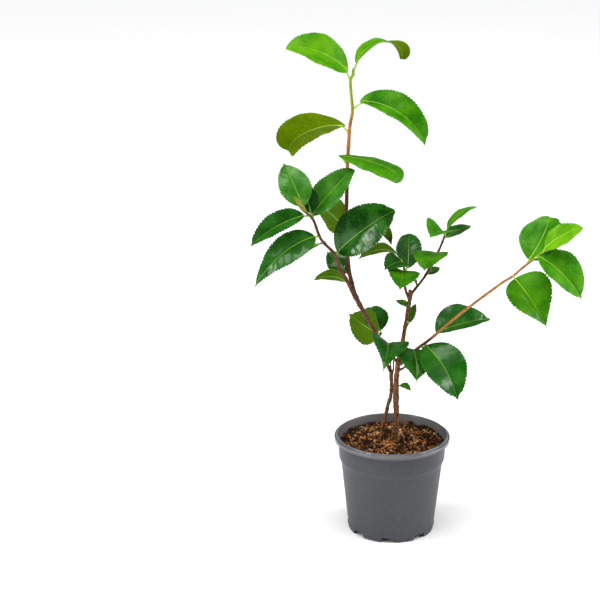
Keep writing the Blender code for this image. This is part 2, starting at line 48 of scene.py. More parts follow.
MM = 0.001
UP = Vector((0, 0, 1))
RIM_RADIUS = 60 * MM
POT_HEIGHT = 104 * MM
WALL = 1.1 * MM
LIP_WIDTH = 4.3 * MM
LIP_DEPTH = 6 * MM
LIP_BOTTOM = POT_HEIGHT - LIP_DEPTH
LIP_BEAD = 1.8 * MM
LIP_STEP = 1.5 * MM
COLLAR_BOTTOM_Z = 79 * MM
COLLAR_TAPER = 0.9 * MM
SHOULDER_Z = 74 * MM
SHOULDER_STEP = 2.3 * MM
SKIRT_HEIGHT = 6 * MM
SKIRT_RADIUS = 45.5 * MM
SKIRT_STEP = 0.5 * MM
SKIRT_DRAFT = 1.2 * MM
SKIRT_WALL = 2.2 * MM
FLOOR_TOP = SKIRT_HEIGHT + WALL
PAD_RADIUS = 12 * MM
FOOT_COUNT = 8
FIRST_NOTCH_ANGLE = math.radians(-96)
FOOT_ANGLES = [FIRST_NOTCH_ANGLE + math.tau * (index + 0.5) / FOOT_COUNT for index in range(FOOT_COUNT)]
FOOT_PITCH = math.tau * SKIRT_RADIUS / FOOT_COUNT
NOTCH_BOTTOM_WIDTH = 16.5 * MM
NOTCH_TOP_WIDTH = 13 * MM
FOOT_HALF = (FOOT_PITCH - NOTCH_BOTTOM_WIDTH) / 2
FOOT_TOP_HALF = (FOOT_PITCH - NOTCH_TOP_WIDTH) / 2
NICK_WIDTH = 3 * MM
NICK_HEIGHT = 1.4 * MM
DRAIN_RADIUS = 4 * MM
DRAIN_RING_RADIUS = 26 * MM
POT_SEGMENTS = 180
DRAIN_SEGMENTS = 32
FOOT_STEPS = 12
ROUNDING_STEPS = 6
CLOSE = 0.01 * MM


class Wire:
    """One socket of a material's node tree. Arithmetic on it adds Math nodes."""

    def __init__(self, tree, socket=None):
        self.tree = tree
        self.socket = socket

    def node(self, kind, settings, inputs, output=0):
        """Any node, from its type, its settings and the values or links of its sockets."""
        made = self.tree.nodes.new("ShaderNode" + kind)
        for key, value in settings.items():
            setattr(made, key, value)
        for key, value in inputs.items():
            if isinstance(value, Wire):
                self.tree.links.new(value.socket, made.inputs[key])
            else:
                made.inputs[key].default_value = value
        return Wire(self.tree, made.outputs[output])

    def math(self, operation, first, second):
        return self.node("Math", {"operation": operation}, {0: first, 1: second})

    def __add__(self, other):
        return self.math("ADD", self, other)

    def __rsub__(self, other):
        return self.math("SUBTRACT", other, self)

    def __mul__(self, other):
        return self.math("MULTIPLY", self, other)

    def ramp(self, low, high):
        """This value rescaled so that low is 0 and high is 1, and held between them."""
        return self.node("MapRange", {"clamp": True}, {0: self, 1: low, 2: high})

    def blend(self, first, second):
        """The first colour where this value is 0 and the second where it is 1."""
        return self.node("Mix", {"data_type": "RGBA"}, {0: self, 6: rgba(first), 7: rgba(second)}, 2)

    def place(self, stretch=(1, 1, 1)):
        """The place on the piece in metres, with each axis stretched."""
        spot = self.node("TexCoord", {}, {}, "Object")
        return self.node("VectorMath", {"operation": "MULTIPLY"}, {0: spot, 1: stretch})

    def along(self, direction):
        """How far the place on the piece is along a direction, in metres."""
        return self.node("VectorMath", {"operation": "DOT_PRODUCT"}, {0: self.place(), 1: direction}, 1)

    def grain(self, scale, detail=2.0, stretch=(1, 1, 1)):
        """Soft noise of about 0 to 1, with scale in lumps for each metre."""
        return self.node("TexNoise", {}, {"Vector": self.place(stretch), "Scale": scale, "Detail": detail})

    def relief(self, height, depth):
        """A bump of a depth in metres from a height of 0 to 1."""
        return self.node("Bump", {}, {"Height": height, "Distance": depth, "Strength": 1.0})


def rgba(colour):
    """A colour with its alpha, or a colour socket as it is."""
    return colour if isinstance(colour, Wire) else (*colour, 1)


def toned(colour, factor):
    """A colour made darker or lighter by a factor."""
    return tuple(factor * part for part in colour)


def socket_name(key):
    """The shader's own name of a socket, such as Base Color for base_color."""
    return " ".join(word if word.isupper() else word.capitalize() for word in key.split("_"))


def finish(name, **fixed):
    """A new material and its tree. Fixed values go straight on the shader's own sockets."""
    made = bpy.data.materials.new(name)
    made.use_nodes = True
    shader = made.node_tree.nodes["Principled BSDF"]
    for key, value in fixed.items():
        shader.inputs[socket_name(key)].default_value = value
    return made, Wire(made.node_tree)


def dress(made, **parts):
    """Link what varies over a surface to the material's shader."""
    shader = made.node_tree.nodes["Principled BSDF"]
    for key, wire in parts.items():
        made.node_tree.links.new(wire.socket, shader.inputs[socket_name(key)])
    return made


def put(name, data):
    """A new object in the scene, from its mesh, light or camera."""
    thing = bpy.data.objects.new(name, data)
    bpy.context.scene.collection.objects.link(thing)
    return thing


def make_object(name, shape, finishes):
    """A bmesh as an object in the scene, with its finishes."""
    mesh = bpy.data.meshes.new(name)
    shape.to_mesh(mesh)
    shape.free()
    for made in finishes:
        mesh.materials.append(made)
    return put(name, mesh)


def piece(name, shape, finishes, replaced=()):
    """A bmesh as a finished piece that rides with the pot and stands for CAD nodes."""
    bmesh.ops.recalc_face_normals(shape, faces=shape.faces)
    thing = make_object(name, shape, finishes)
    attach(thing, "root")
    if replaced:
        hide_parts(*replaced)


def cap(shape, ring, slot=0):
    """A flat face on a ring of vertices."""
    shape.faces.new(ring).material_index = slot


def skin(shape, rings, slot=0):
    """Smooth faces between rings of vertices."""
    for near, far in zip(rings, rings[1:]):
        for index in range(len(near)):
            after = (index + 1) % len(near)
            face = shape.faces.new((near[index], near[after], far[after], far[index]))
            face.material_index = slot
            face.smooth = True


def closed_skin(shape, rings, slot=0):
    """Faces between rings of vertices, with a cap on the first ring and on the last."""
    skin(shape, rings, slot)
    cap(shape, rings[0], slot)
    cap(shape, rings[-1], slot)


def polar(radius, angle):
    """The x and y of a place, from its radius and its angle round the pot's axis."""
    return radius * math.cos(angle), radius * math.sin(angle)


def level(angle):
    """The level unit direction at an angle from +X."""
    return Vector((*polar(1, angle), 0))


def hoop(shape, radius, z, segments, centre=(0, 0)):
    """A level ring of vertices round a centre."""
    ring = []
    for index in range(segments):
        x, y = polar(radius, math.tau * index / segments)
        ring.append(shape.verts.new((centre[0] + x, centre[1] + y, z)))
    return ring


def rounded(corners):
    """A profile of (radius, z) with its corners of (radius, z, rounding) eased."""
    profile = []
    for index, (radius, z, rounding) in enumerate(corners):
        corner = Vector((radius, z))
        if not rounding:
            profile.append(corner)
            continue
        before = Vector(corners[index - 1][:2])
        after = Vector(corners[index + 1][:2])
        enter = corner + (before - corner).normalized() * rounding
        leave = corner + (after - corner).normalized() * rounding
        for step in range(ROUNDING_STEPS + 1):
            share = step / ROUNDING_STEPS
            profile.append(enter.lerp(corner, share).lerp(corner.lerp(leave, share), share))
    return profile


def inner_radius(z):
    """Radius of the inside of the pot's wall at a height."""
    collar_top = RIM_RADIUS - LIP_WIDTH - WALL
    collar_bottom = collar_top - COLLAR_TAPER
    shoulder = collar_bottom - SHOULDER_STEP
    foot = SKIRT_RADIUS - SKIRT_STEP - WALL
    if z >= COLLAR_BOTTOM_Z:
        share = (z - COLLAR_BOTTOM_Z) / (LIP_BOTTOM - COLLAR_BOTTOM_Z)
        return collar_bottom + (collar_top - collar_bottom) * share
    if z >= SHOULDER_Z:
        share = (z - SHOULDER_Z) / (COLLAR_BOTTOM_Z - SHOULDER_Z)
        return shoulder + (collar_bottom - shoulder) * share
    return foot + (shoulder - foot) * (z - SKIRT_HEIGHT) / (SHOULDER_Z - SKIRT_HEIGHT)


def pot_corners():
    """The cut wall, from the floor's middle underneath, up the outside and down the inside."""
    inner_edge = RIM_RADIUS - LIP_WIDTH
    band = SKIRT_HEIGHT - 0.6 * MM
    return [
        (0.5 * MM, 0, 0),
        (PAD_RADIUS, 0, 0.4 * MM),
        (PAD_RADIUS, SKIRT_HEIGHT, 0),
        (SKIRT_RADIUS - SKIRT_WALL - 1 * MM, SKIRT_HEIGHT, 0),
        (SKIRT_RADIUS - SKIRT_WALL, band, 0),
        (SKIRT_RADIUS - 0.15 * MM, band, 0),
        (SKIRT_RADIUS, band + 0.15 * MM, 0),
        (SKIRT_RADIUS, SKIRT_HEIGHT - 0.2 * MM, 0.15 * MM),
        (SKIRT_RADIUS - SKIRT_STEP, SKIRT_HEIGHT + 0.2 * MM, 0.2 * MM),
        (inner_radius(SHOULDER_Z) + WALL, SHOULDER_Z, 1.6 * MM),
        (inner_radius(COLLAR_BOTTOM_Z) + WALL, COLLAR_BOTTOM_Z, 1.6 * MM),
        (inner_radius(LIP_BOTTOM) + WALL, LIP_BOTTOM + 1.5 * MM, 0.4 * MM),
        (RIM_RADIUS - 1.4 * MM, LIP_BOTTOM + 1.5 * MM, 0.4 * MM),
        (RIM_RADIUS - 1.3 * MM, LIP_BOTTOM, 0.4 * MM),
        (RIM_RADIUS, LIP_BOTTOM, 0.6 * MM),
        (RIM_RADIUS, POT_HEIGHT - LIP_STEP, 1.6 * MM),
        (inner_edge + LIP_BEAD + 0.5 * MM, POT_HEIGHT - LIP_STEP, 0.3 * MM),
        (inner_edge + LIP_BEAD, POT_HEIGHT, 0.8 * MM),
        (inner_edge, POT_HEIGHT, 0.9 * MM),
        (inner_radius(LIP_BOTTOM), LIP_BOTTOM - 2 * MM, 1.5 * MM),
        (inner_radius(COLLAR_BOTTOM_Z), COLLAR_BOTTOM_Z, 1 * MM),
        (inner_radius(SHOULDER_Z), SHOULDER_Z, 1 * MM),
        (inner_radius(FLOOR_TOP), FLOOR_TOP, 0),
        (0.5 * MM, FLOOR_TOP, 0),
    ]


def foot_bottom(offset):
    """Height of a foot's lower edge at a distance from the foot's middle, along the skirt."""
    if abs(offset) < NICK_WIDTH / 2:
        return NICK_HEIGHT * min(1.0, 3 - 6 * abs(offset) / NICK_WIDTH)
    if abs(offset) > FOOT_HALF:
        return (SKIRT_HEIGHT - 0.5 * MM) * (abs(offset) - FOOT_HALF) / (FOOT_TOP_HALF - FOOT_HALF)
    return 0


def add_foot(shape, middle):
    """One foot of the skirt, between two notches, with a small nick in its middle."""
    offsets = [FOOT_TOP_HALF * step / FOOT_STEPS for step in range(-FOOT_STEPS, FOOT_STEPS + 1)]
    for edge in (NICK_WIDTH / 2, NICK_WIDTH / 3, FOOT_HALF):
        offsets.extend((-edge, edge))
    top = SKIRT_HEIGHT - 0.3 * MM
    sections = []
    for offset in sorted(set(offsets)):
        outward = level(middle + offset / SKIRT_RADIUS)
        low = foot_bottom(offset)
        section = []
        for z, inset in ((top, 0.05 * MM), (low, 0), (low, SKIRT_WALL), (top, SKIRT_WALL)):
            draft = SKIRT_DRAFT * (1 - z / SKIRT_HEIGHT)
            section.append(shape.verts.new(outward * (SKIRT_RADIUS - draft - inset) + UP * z))
        sections.append(section)
    first_face = len(shape.faces)
    closed_skin(shape, sections)
    shape.faces.ensure_lookup_table()
    for face in shape.faces[first_face:]:
        face.smooth = False


def drill(shape, z):
    """Cut the drain holes' outlines into the pot's floor at a height and return their rings."""
    flat = [face for face in shape.faces if all(abs(corner.co.z - z) < CLOSE for corner in face.verts)]
    bmesh.ops.delete(shape, geom=flat, context="FACES")
    outlines = [edge for edge in shape.edges if edge.is_boundary and abs(edge.verts[0].co.z - z) < CLOSE]
    holes = []
    for angle in FOOT_ANGLES:
        ring = hoop(shape, DRAIN_RADIUS, z, DRAIN_SEGMENTS, polar(DRAIN_RING_RADIUS, angle))
        outlines.extend(shape.edges.new((ring[step - 1], ring[step])) for step in range(DRAIN_SEGMENTS))
        holes.append(ring)
    bmesh.ops.triangle_fill(shape, use_beauty=True, edges=outlines, normal=UP)
    return holes


def plastic_finish(name, low, high, dusty):
    """Satin grey plastic with a fine grain, scuffed, dusty in patches and glossier on the lip, with painted
    shade darker under the lip and a painted highlight on it.
    """
    made, tree = finish(name, specular_IOR_level=0.3, coat_roughness=0.1)
    cloud = tree.grain(22, 4)
    scuff = tree.grain(900, 3, (1, 1, 0.25)).ramp(0.62, 0.78)
    dust = tree.grain(160, 5).ramp(0.45, 0.8)
    height = tree.along(UP)
    lip_gloss_and_painted_highlight = height.ramp(LIP_BOTTOM, POT_HEIGHT - LIP_DEPTH / 2)
    painted_lip_shade = height.ramp(LIP_BOTTOM, SHOULDER_Z)
    tone = cloud.ramp(0.3, 0.7).blend(low, high)
    # Painted shade: the grey stays darker just under the lip and lightens towards the shoulder; the dust lies
    # in random patches.
    tone = (painted_lip_shade * 0.05 + dust * dusty).blend(tone, (0.17, 0.165, 0.165))
    tone = (scuff * 0.15).blend(tone, (0.20, 0.20, 0.20))
    # Painted highlight: the lip's lighter grey stands in for the bright band of light along it; its extra
    # coat gloss is real.
    tone = (lip_gloss_and_painted_highlight * 0.4).blend(tone, (0.17, 0.17, 0.18))
    stipple = tree.grain(2600, 2) * 0.5 + tree.grain(420, 3) * 0.5
    return dress(made, base_color=tone, roughness=cloud * 0.10 + 0.42 + scuff * 0.1,
                 coat_weight=lip_gloss_and_painted_highlight, normal=tree.relief(stipple, 0.03 * MM))


pot_plastic = plastic_finish("pot_plastic", (0.038, 0.040, 0.046), (0.048, 0.050, 0.058), 0.06)
# The inside is the same plastic as the outside; its far lighter grey is painted light on the inner wall.
pot_inside_painted_light = plastic_finish("pot_inside_painted_light", (0.125, 0.12, 0.125), (0.16, 0.15, 0.155), 0.3)

shape = bmesh.new()
closed_skin(shape, [hoop(shape, radius, z, POT_SEGMENTS) for radius, z in rounded(pot_corners())])
for low, high in zip(drill(shape, SKIRT_HEIGHT), drill(shape, FLOOR_TOP)):
    skin(shape, [low, high])
for face in shape.faces:
    middle = face.calc_center_median()
    if middle.z > FLOOR_TOP and middle.xy.length < inner_radius(middle.z) + WALL / 2:
        face.material_index = 1
for angle in FOOT_ANGLES:
    add_foot(shape, angle)
piece("pot_wall", shape, [pot_plastic, pot_inside_painted_light], ["pot"])

# The compost
# Moist peat compost that fills the pot to just under its lip: dark crumbs with chips of
# bark, pale grit and a tuft of coarse fibres. It only lies in the pot.

COMPOST_TOP = 96.7 * MM
COMPOST_SETTLED = 1.8 * MM
COMPOST_FLAT_RADIUS = 24 * MM
COMPOST_EDGE_DROP = 1.5 * MM
CLEARANCE = 0.3 * MM
COMPOST_RADIUS = inner_radius(COMPOST_TOP - COMPOST_EDGE_DROP) - CLEARANCE
BED_STEP = 1.1 * MM
BED_SEGMENTS = 240
REAR_MOUND = 1.6 * MM
CRUMB_COUNT = 5600
CRUMB_SIZES = (0.4, 0.5, 0.6, 0.8, 1.0, 1.3, 1.7)
CRUMB_LIMITS = (0.60, 0.80, 0.93)
GRIT_SHARE = 0.014
CHIP_COUNT = 150
FIBRE_COUNT = 70
TUFT_COUNT = 48
TUFT_MIDDLE = Vector((-7, -13, 0)) * MM
FIBRE_STEPS = 7
FIBRE_SIDES = 3


def compost_height(x, y):
    """Height of the compost's uneven surface."""
    out = math.hypot(x, y)
    slope = max(0.0, (out - COMPOST_FLAT_RADIUS) / (COMPOST_RADIUS - COMPOST_FLAT_RADIUS))
    lumps = noise.noise(Vector((x, y, 0.3)) * 90) * 2.6 + noise.noise(Vector((x, y, 2.1)) * 260) * 2.2
    mound = REAR_MOUND * max(0.0, min(1.0, (y - 10 * MM) / (25 * MM)))
    return COMPOST_TOP - COMPOST_SETTLED - slope * COMPOST_EDGE_DROP + mound + lumps * MM


def scattered(dice, margin):
    """The x and y of a random place on the compost that keeps a margin to the wall."""
    radius = (COMPOST_RADIUS - margin) * math.sqrt(dice.random())
    return polar(radius, dice.uniform(0, math.tau))


ball = bmesh.new()
bmesh.ops.create_icosphere(ball, subdivisions=1, radius=1)
BALL_CORNERS = [vertex.co.copy() for vertex in ball.verts]
BALL_FACES = [[vertex.index for vertex in face.verts] for face in ball.faces]
ball.free()


def crumb(shape, dice, centre, size, slot, flat=1.0):
    """One irregular crumb, a bruised ball squashed by flat."""
    turn = Quaternion((dice.uniform(-1, 1), dice.uniform(-1, 1), dice.uniform(-1, 1)), dice.uniform(0, 3))
    stretch = Vector((dice.uniform(0.5, 1.6), dice.uniform(0.6, 1.3), flat * dice.uniform(0.6, 1.1)))
    bruised = []
    for corner in BALL_CORNERS:
        spot = corner * dice.uniform(0.8, 1.2) * size
        spot = Vector((spot.x * stretch.x, spot.y * stretch.y, spot.z * stretch.z))
        bruised.append(shape.verts.new(turn @ spot + centre))
    for corners in BALL_FACES:
        cap(shape, [bruised[index] for index in corners], slot)


def crumb_finish(name, dark, light, roughness):
    """A crumbly finish between two tones."""
    made, tree = finish(name, specular_IOR_level=0.15)
    speck = tree.grain(900, 4)
    return dress(made, base_color=speck.ramp(0.35, 0.68).blend(dark, light),
                 roughness=speck * 0.1 + roughness, normal=tree.relief(speck, 0.25 * MM))


peat = crumb_finish("peat", (0.008, 0.003, 0.0015), (0.060, 0.022, 0.008), 0.8)
loam = crumb_finish("loam", (0.050, 0.018, 0.006), (0.280, 0.105, 0.034), 0.8)
bark_chip = crumb_finish("bark_chip", (0.16, 0.052, 0.012), (0.56, 0.220, 0.062), 0.5)
tan_chip = crumb_finish("tan_chip", (0.40, 0.20, 0.08), (0.80, 0.50, 0.24), 0.6)
grit = crumb_finish("grit", (0.50, 0.40, 0.26), (0.85, 0.74, 0.55), 0.5)
crumb_finishes = [peat, loam, bark_chip, tan_chip, grit]

shape = bmesh.new()
ring_count = round(COMPOST_RADIUS / BED_STEP)
rings = []
for index in range(ring_count + 1):
    ring = hoop(shape, COMPOST_RADIUS * max(index, 0.05) / ring_count, 0, BED_SEGMENTS)
    for corner in ring:
        corner.co.z = compost_height(corner.co.x, corner.co.y)
    rings.append(ring)
for z in (COLLAR_BOTTOM_Z, SHOULDER_Z, FLOOR_TOP + CLEARANCE):
    rings.append(hoop(shape, inner_radius(z) - CLEARANCE, z, BED_SEGMENTS))
closed_skin(shape, rings)
piece("compost_bed", shape, [peat], ["compost"])

shape = bmesh.new()
dice = random.Random(4)
for index in range(CRUMB_COUNT):
    x, y = scattered(dice, 1.5 * MM)
    size = dice.choice(CRUMB_SIZES) * dice.uniform(0.8, 1.2) * MM
    pick = dice.random() + 0.5 * noise.noise(Vector((x, y, 5)) * 70)
    # Painted shade: near the wall the crumbs are more often dark peat, so the compost darkens along the pot's
    # wall.
    pick -= 0.3 * max(0.0, math.hypot(x, y) / COMPOST_RADIUS - 0.85) / 0.15
    slot = sum(pick >= limit for limit in CRUMB_LIMITS)
    if dice.random() < GRIT_SHARE:
        slot = crumb_finishes.index(grit)
        size = size * 0.6
    centre = Vector((x, y, compost_height(x, y) + dice.uniform(-0.2, 0.5) * size))
    crumb(shape, dice, centre, size, slot)
for index in range(CHIP_COUNT):
    x, y = scattered(dice, 3 * MM)
    size = dice.uniform(1.5, 3.0) * MM
    centre = Vector((x, y, compost_height(x, y) + 0.15 * size))
    crumb(shape, dice, centre, size, dice.choice((0, 1, 1, 2, 0)), 0.6)
piece("compost_crumbs", shape, crumb_finishes)


def ring_round(shape, point, across, other, reaches):
    """A ring of vertices round a point, from two directions and each vertex's own reach."""
    ring = []
    for index, reach in enumerate(reaches):
        angle = math.tau * index / len(reaches)
        ring.append(shape.verts.new(point + (across * math.cos(angle) + other * math.sin(angle)) * reach))
    return ring


def fibre(shape, point, heading, rise, length, radius, dice):
    """One thin curved fibre that starts at a point."""
    rings = []
    for index in range(FIBRE_STEPS + 1):
        along = Vector((math.cos(heading), math.sin(heading), math.sin(rise)))
        side = along.orthogonal().normalized()
        other = along.cross(side).normalized()
        thin = radius * (1 - 0.6 * index / FIBRE_STEPS)
        rings.append(ring_round(shape, point, side, other, [thin] * FIBRE_SIDES))
        point = point + along * length / FIBRE_STEPS
        heading += dice.uniform(-0.35, 0.35)
        rise += dice.uniform(-0.3, 0.18)
    closed_skin(shape, rings)


straw = crumb_finish("straw_fibre", (0.50, 0.19, 0.04), (0.86, 0.42, 0.13), 0.55)
shape = bmesh.new()
for index in range(FIBRE_COUNT):
    if index < TUFT_COUNT:
        spot = TUFT_MIDDLE + Vector((dice.gauss(0, 3.5), dice.gauss(0, 6), 0)) * MM
    else:
        spot = Vector((*scattered(dice, 6 * MM), 0))
    spot.z = compost_height(spot.x, spot.y) + dice.uniform(0.8, 2.6) * MM
    fibre(shape, spot, dice.uniform(0, math.tau), dice.uniform(-0.1, 0.3),
          dice.uniform(5, 11) * MM, dice.uniform(0.26, 0.50) * MM, dice)
piece("compost_fibres", shape, [straw])

# The woody stems
# Two stems stand in the compost and fork into slim boughs. They are living wood under thin
# rough bark, marked by the rings that old leaves left, and each bough grows out of the last.

STEM_SIDES = 20
RING_STEP = 0.8 * MM
CURVE_STEPS = 12
DOME_ANGLES = (0.5, 1.0, 1.4)
SCAR_WIDTH = 0.9 * MM
STEM_FOOT = (COMPOST_TOP + CLEARANCE) / MM


class Limb:
    """A stem along a smooth curve through joints of (x, y, z, radius) in millimetres."""

    def __init__(self, *joints):
        self.points = []
        self.radii = []
        places = [Vector(joint[:3]) * MM for joint in joints]
        widths = [joint[3] * MM for joint in joints]
        last = len(joints) - 1
        for index in range(last):
            before = places[max(index - 1, 0)]
            start = places[index]
            end = places[index + 1]
            after = places[min(index + 2, last)]
            for step in range(CURVE_STEPS):
                share = step / CURVE_STEPS
                self.points.append(smooth(before, start, end, after, share))
                self.radii.append(widths[index] + (widths[index + 1] - widths[index]) * share)
        self.points.append(places[-1])
        self.radii.append(widths[-1])
        self.lengths = [0]
        for start, end in zip(self.points, self.points[1:]):
            self.lengths.append(self.lengths[-1] + (end - start).length)

    def place(self, fraction):
        """Point and radius at a fraction of the limb's length."""
        wanted = fraction * self.lengths[-1]
        index = 0
        while index < len(self.points) - 2 and self.lengths[index + 1] < wanted:
            index += 1
        start = self.points[index]
        end = self.points[index + 1]
        share = (wanted - self.lengths[index]) / (end - start).length
        radius = self.radii[index] + (self.radii[index + 1] - self.radii[index]) * share
        return start.lerp(end, share), radius


def smooth(before, start, end, after, share):
    """A point between start and end on the curve that also heeds its neighbours."""
    leave = (end - before) / 2
    arrive = (after - start) / 2
    return (start * (2 * share ** 3 - 3 * share ** 2 + 1)
            + leave * (share ** 3 - 2 * share ** 2 + share)
            + end * (3 * share ** 2 - 2 * share ** 3)
            + arrive * (share ** 3 - share ** 2))


def tube(shape, points, radii, sides, slot=0, relief=None):
    """A closed tube along points. relief gives its swelling from angle, length so far and radius."""
    tangents = []
    for index in range(len(points)):
        ahead = points[min(index + 1, len(points) - 1)]
        behind = points[max(index - 1, 0)]
        tangents.append((ahead - behind).normalized())
    across = tangents[0].orthogonal().normalized()
    rings = []
    travelled = 0
    for index, (point, tangent, radius) in enumerate(zip(points, tangents, radii)):
        across = (across - tangent * across.dot(tangent)).normalized()
        travelled += (point - points[max(index - 1, 0)]).length
        reaches = [radius] * sides
        if relief:
            reaches = [radius + relief(math.tau * side / sides, travelled, radius) for side in range(sides)]
        rings.append(ring_round(shape, point, across, tangent.cross(across), reaches))
    closed_skin(shape, rings, slot)


def domed(points, radii):
    """The same line with its far end rounded off."""
    tip = points[-1]
    along = (tip - points[-2]).normalized()
    radius = radii[-1]
    extra_points = [tip + along * radius * 0.8 * math.sin(share) for share in DOME_ANGLES]
    extra_radii = [radius * math.cos(share) for share in DOME_ANGLES]
    return points + extra_points, radii + extra_radii


def bark_relief(seed, roughness, scars):
    """Bark that is furrowed along the stem, lumpy and ringed by leaf scars."""
    shift = Vector((seed * 7.3, seed * 3.1, 0))

    def swelling(angle, travelled, radius):
        around = level(angle)
        furrow = noise.noise(around * 3.0 + UP * travelled * 210 + shift)
        lump = noise.noise(around * 0.9 + UP * travelled * 100 + shift)
        ring = sum(math.exp(-((travelled - scar) / SCAR_WIDTH) ** 2) for scar in scars)
        return radius * roughness * (0.6 * furrow + 0.75 * lump) + ring * 0.2 * radius

    return swelling


def scar_places(seed, length, spacing):
    """Uneven places along a stem where old leaves stood."""
    dice = random.Random(seed)
    places = []
    travelled = spacing * dice.uniform(0.4, 0.9)
    while travelled < length:
        places.append(travelled)
        travelled += spacing * dice.uniform(0.55, 1.4)
    return places


def add_bark(name, limb, bark, seed, roughness, spacing, sides, replaced=()):
    """A limb's bark as a piece, with its leaf scars about a spacing in millimetres apart."""
    count = max(4, round(limb.lengths[-1] / RING_STEP))
    places = [limb.place(index / count) for index in range(count + 1)]
    points, radii = domed([point for point, radius in places], [radius for point, radius in places])
    scars = scar_places(seed, limb.lengths[-1], spacing * MM)
    shape = bmesh.new()
    tube(shape, points, radii, sides, relief=bark_relief(seed, roughness, scars))
    piece(name, shape, [bark], replaced)


def bark_finish(name, dark, light, scurf, scurf_share):
    """Thin bark: streaks along the stem between two browns, with flaky paler scurf."""
    made, tree = finish(name, specular_IOR_level=0.25)
    streak = tree.grain(700, 4, (1, 1, 0.22))
    flake = tree.grain(420, 5).ramp(0.62 - scurf_share, 0.72)
    crack = tree.grain(1500, 3, (1, 1, 0.5)).ramp(0.25, 0.45)
    tone = streak.ramp(0.34, 0.66).blend(dark, light)
    tone = (flake * 0.7).blend(tone, scurf)
    tone = (crack * -0.6 + 0.6).blend(tone, toned(dark, 0.35))
    height = streak * 0.5 + crack * 0.3 + flake * 0.2
    return dress(made, base_color=tone, roughness=flake * 0.15 + 0.55,
                 normal=tree.relief(height, 0.6 * MM))


def shoot_finish(name, direction, low_until, high_from, low, high):
    """The bark of a long shoot that changes along it from one pair of tones to another."""
    made, tree = finish(name, specular_IOR_level=0.3)
    along = tree.along(direction)
    streak = tree.grain(700, 4, (1, 1, 0.3)).ramp(0.34, 0.66)
    tone = along.ramp(low_until, high_from).blend(streak.blend(*low), streak.blend(*high))
    return dress(made, base_color=tone, roughness=streak * 0.1 + 0.42, normal=tree.relief(streak, 0.25 * MM))


old_bark = bark_finish("old_bark", (0.036, 0.011, 0.003), (0.190, 0.076, 0.020), (0.44, 0.23, 0.10), 0.10)
brown_bark = bark_finish("brown_bark", (0.034, 0.010, 0.003), (0.150, 0.048, 0.012), (0.28, 0.12, 0.05), 0.05)
RED_BROWN = (0.060, 0.016, 0.004), (0.220, 0.075, 0.020)
ORANGE_BROWN = (0.23, 0.074, 0.012), (0.50, 0.210, 0.046)
FRESH_GREEN = (0.17, 0.27, 0.004), (0.34, 0.46, 0.012)
bough_bark = shoot_finish("bough_bark", (1, 0, 0), 0.036, 0.044, RED_BROWN, ORANGE_BROWN)

main_stem = Limb(
    (2.9, -4, STEM_FOOT, 3.9), (3.1, -3.8, 104, 3.4), (3.9, -3, 127, 3.1), (3.2, -2, 157, 2.8),
    (5.2, -2, 184, 2.4), (9, 0, 204, 2.1), (13.1, 2, 229, 2.0), (16.2, 4, 251, 2.2), (16.4, 4.2, 258.5, 1.9))
second_stem = Limb(
    (-12.2, 0, STEM_FOOT, 2.6), (-9.8, 0, 108, 2.1), (-5.2, 1, 133, 1.9), (-1.5, 2.4, 148, 1.8),
    (-1.9, 4, 170.5, 2.0))
left_bough = Limb(
    (-2.2, 4, 171.2, 1.9), (-5.1, 4, 177, 1.8), (-12, 1.5, 199, 1.9), (-20.6, 0, 219, 2.1),
    (-29.6, -5, 237, 2.2), (-40.8, -10, 259.6, 2.7))
leader = Limb(
    (-40.2, -9.8, 258.6, 2.3), (-46.3, -5, 284.5, 2.1), (-48.3, 1, 313.6, 2.0), (-48.9, 5, 345, 1.9),
    (-48.3, 9, 381.5, 1.9))
left_branch = Limb((-41.6, -12.6, 261, 2.2), (-48, -14.5, 275, 1.9), (-56, -18, 289, 1.7))
right_bough = Limb(
    (7, -3, 181.6, 2.0), (14, -6, 190, 1.8), (25.6, -10, 202.6, 1.6), (39.2, -15, 215.7, 1.5),
    (69.2, -25, 247, 1.4), (106.7, -35, 281.1, 1.35))
left_stub = Limb((-1.5, 5, 166, 0.9), (-2.2, 7.4, 176, 0.8), (-3.6, 7.8, 188, 0.7))
right_stub = Limb((-1, 3, 166, 0.9), (0.3, 1.2, 175, 0.8), (0.6, 1, 186, 0.7))

stems = (
    ("main_stem", main_stem, old_bark, 0.38, 13),
    ("second_stem", second_stem, old_bark, 0.30, 12),
    ("left_bough", left_bough, brown_bark, 0.26, 12),
    ("leader", leader, brown_bark, 0.10, 24),
    ("left_branch", left_branch, brown_bark, 0.20, 9),
    ("right_bough", right_bough, bough_bark, 0.10, 27),
    ("left_stub", left_stub, brown_bark, 0.25, 7),
    ("right_stub", right_stub, brown_bark, 0.25, 7),
)
for seed, (name, limb, bark, roughness, spacing) in enumerate(stems):
    add_bark(name + "_bark", limb, bark, seed, roughness, spacing, STEM_SIDES, [name])

# The leafy sprays
# Evergreen leaves on short stalks: a leathery blade, glossy above and matt olive below,
# with a pale midrib and a finely toothed margin. Each grows from its twig, and the young
# shoots at the top and at the far right are still a bright soft green.

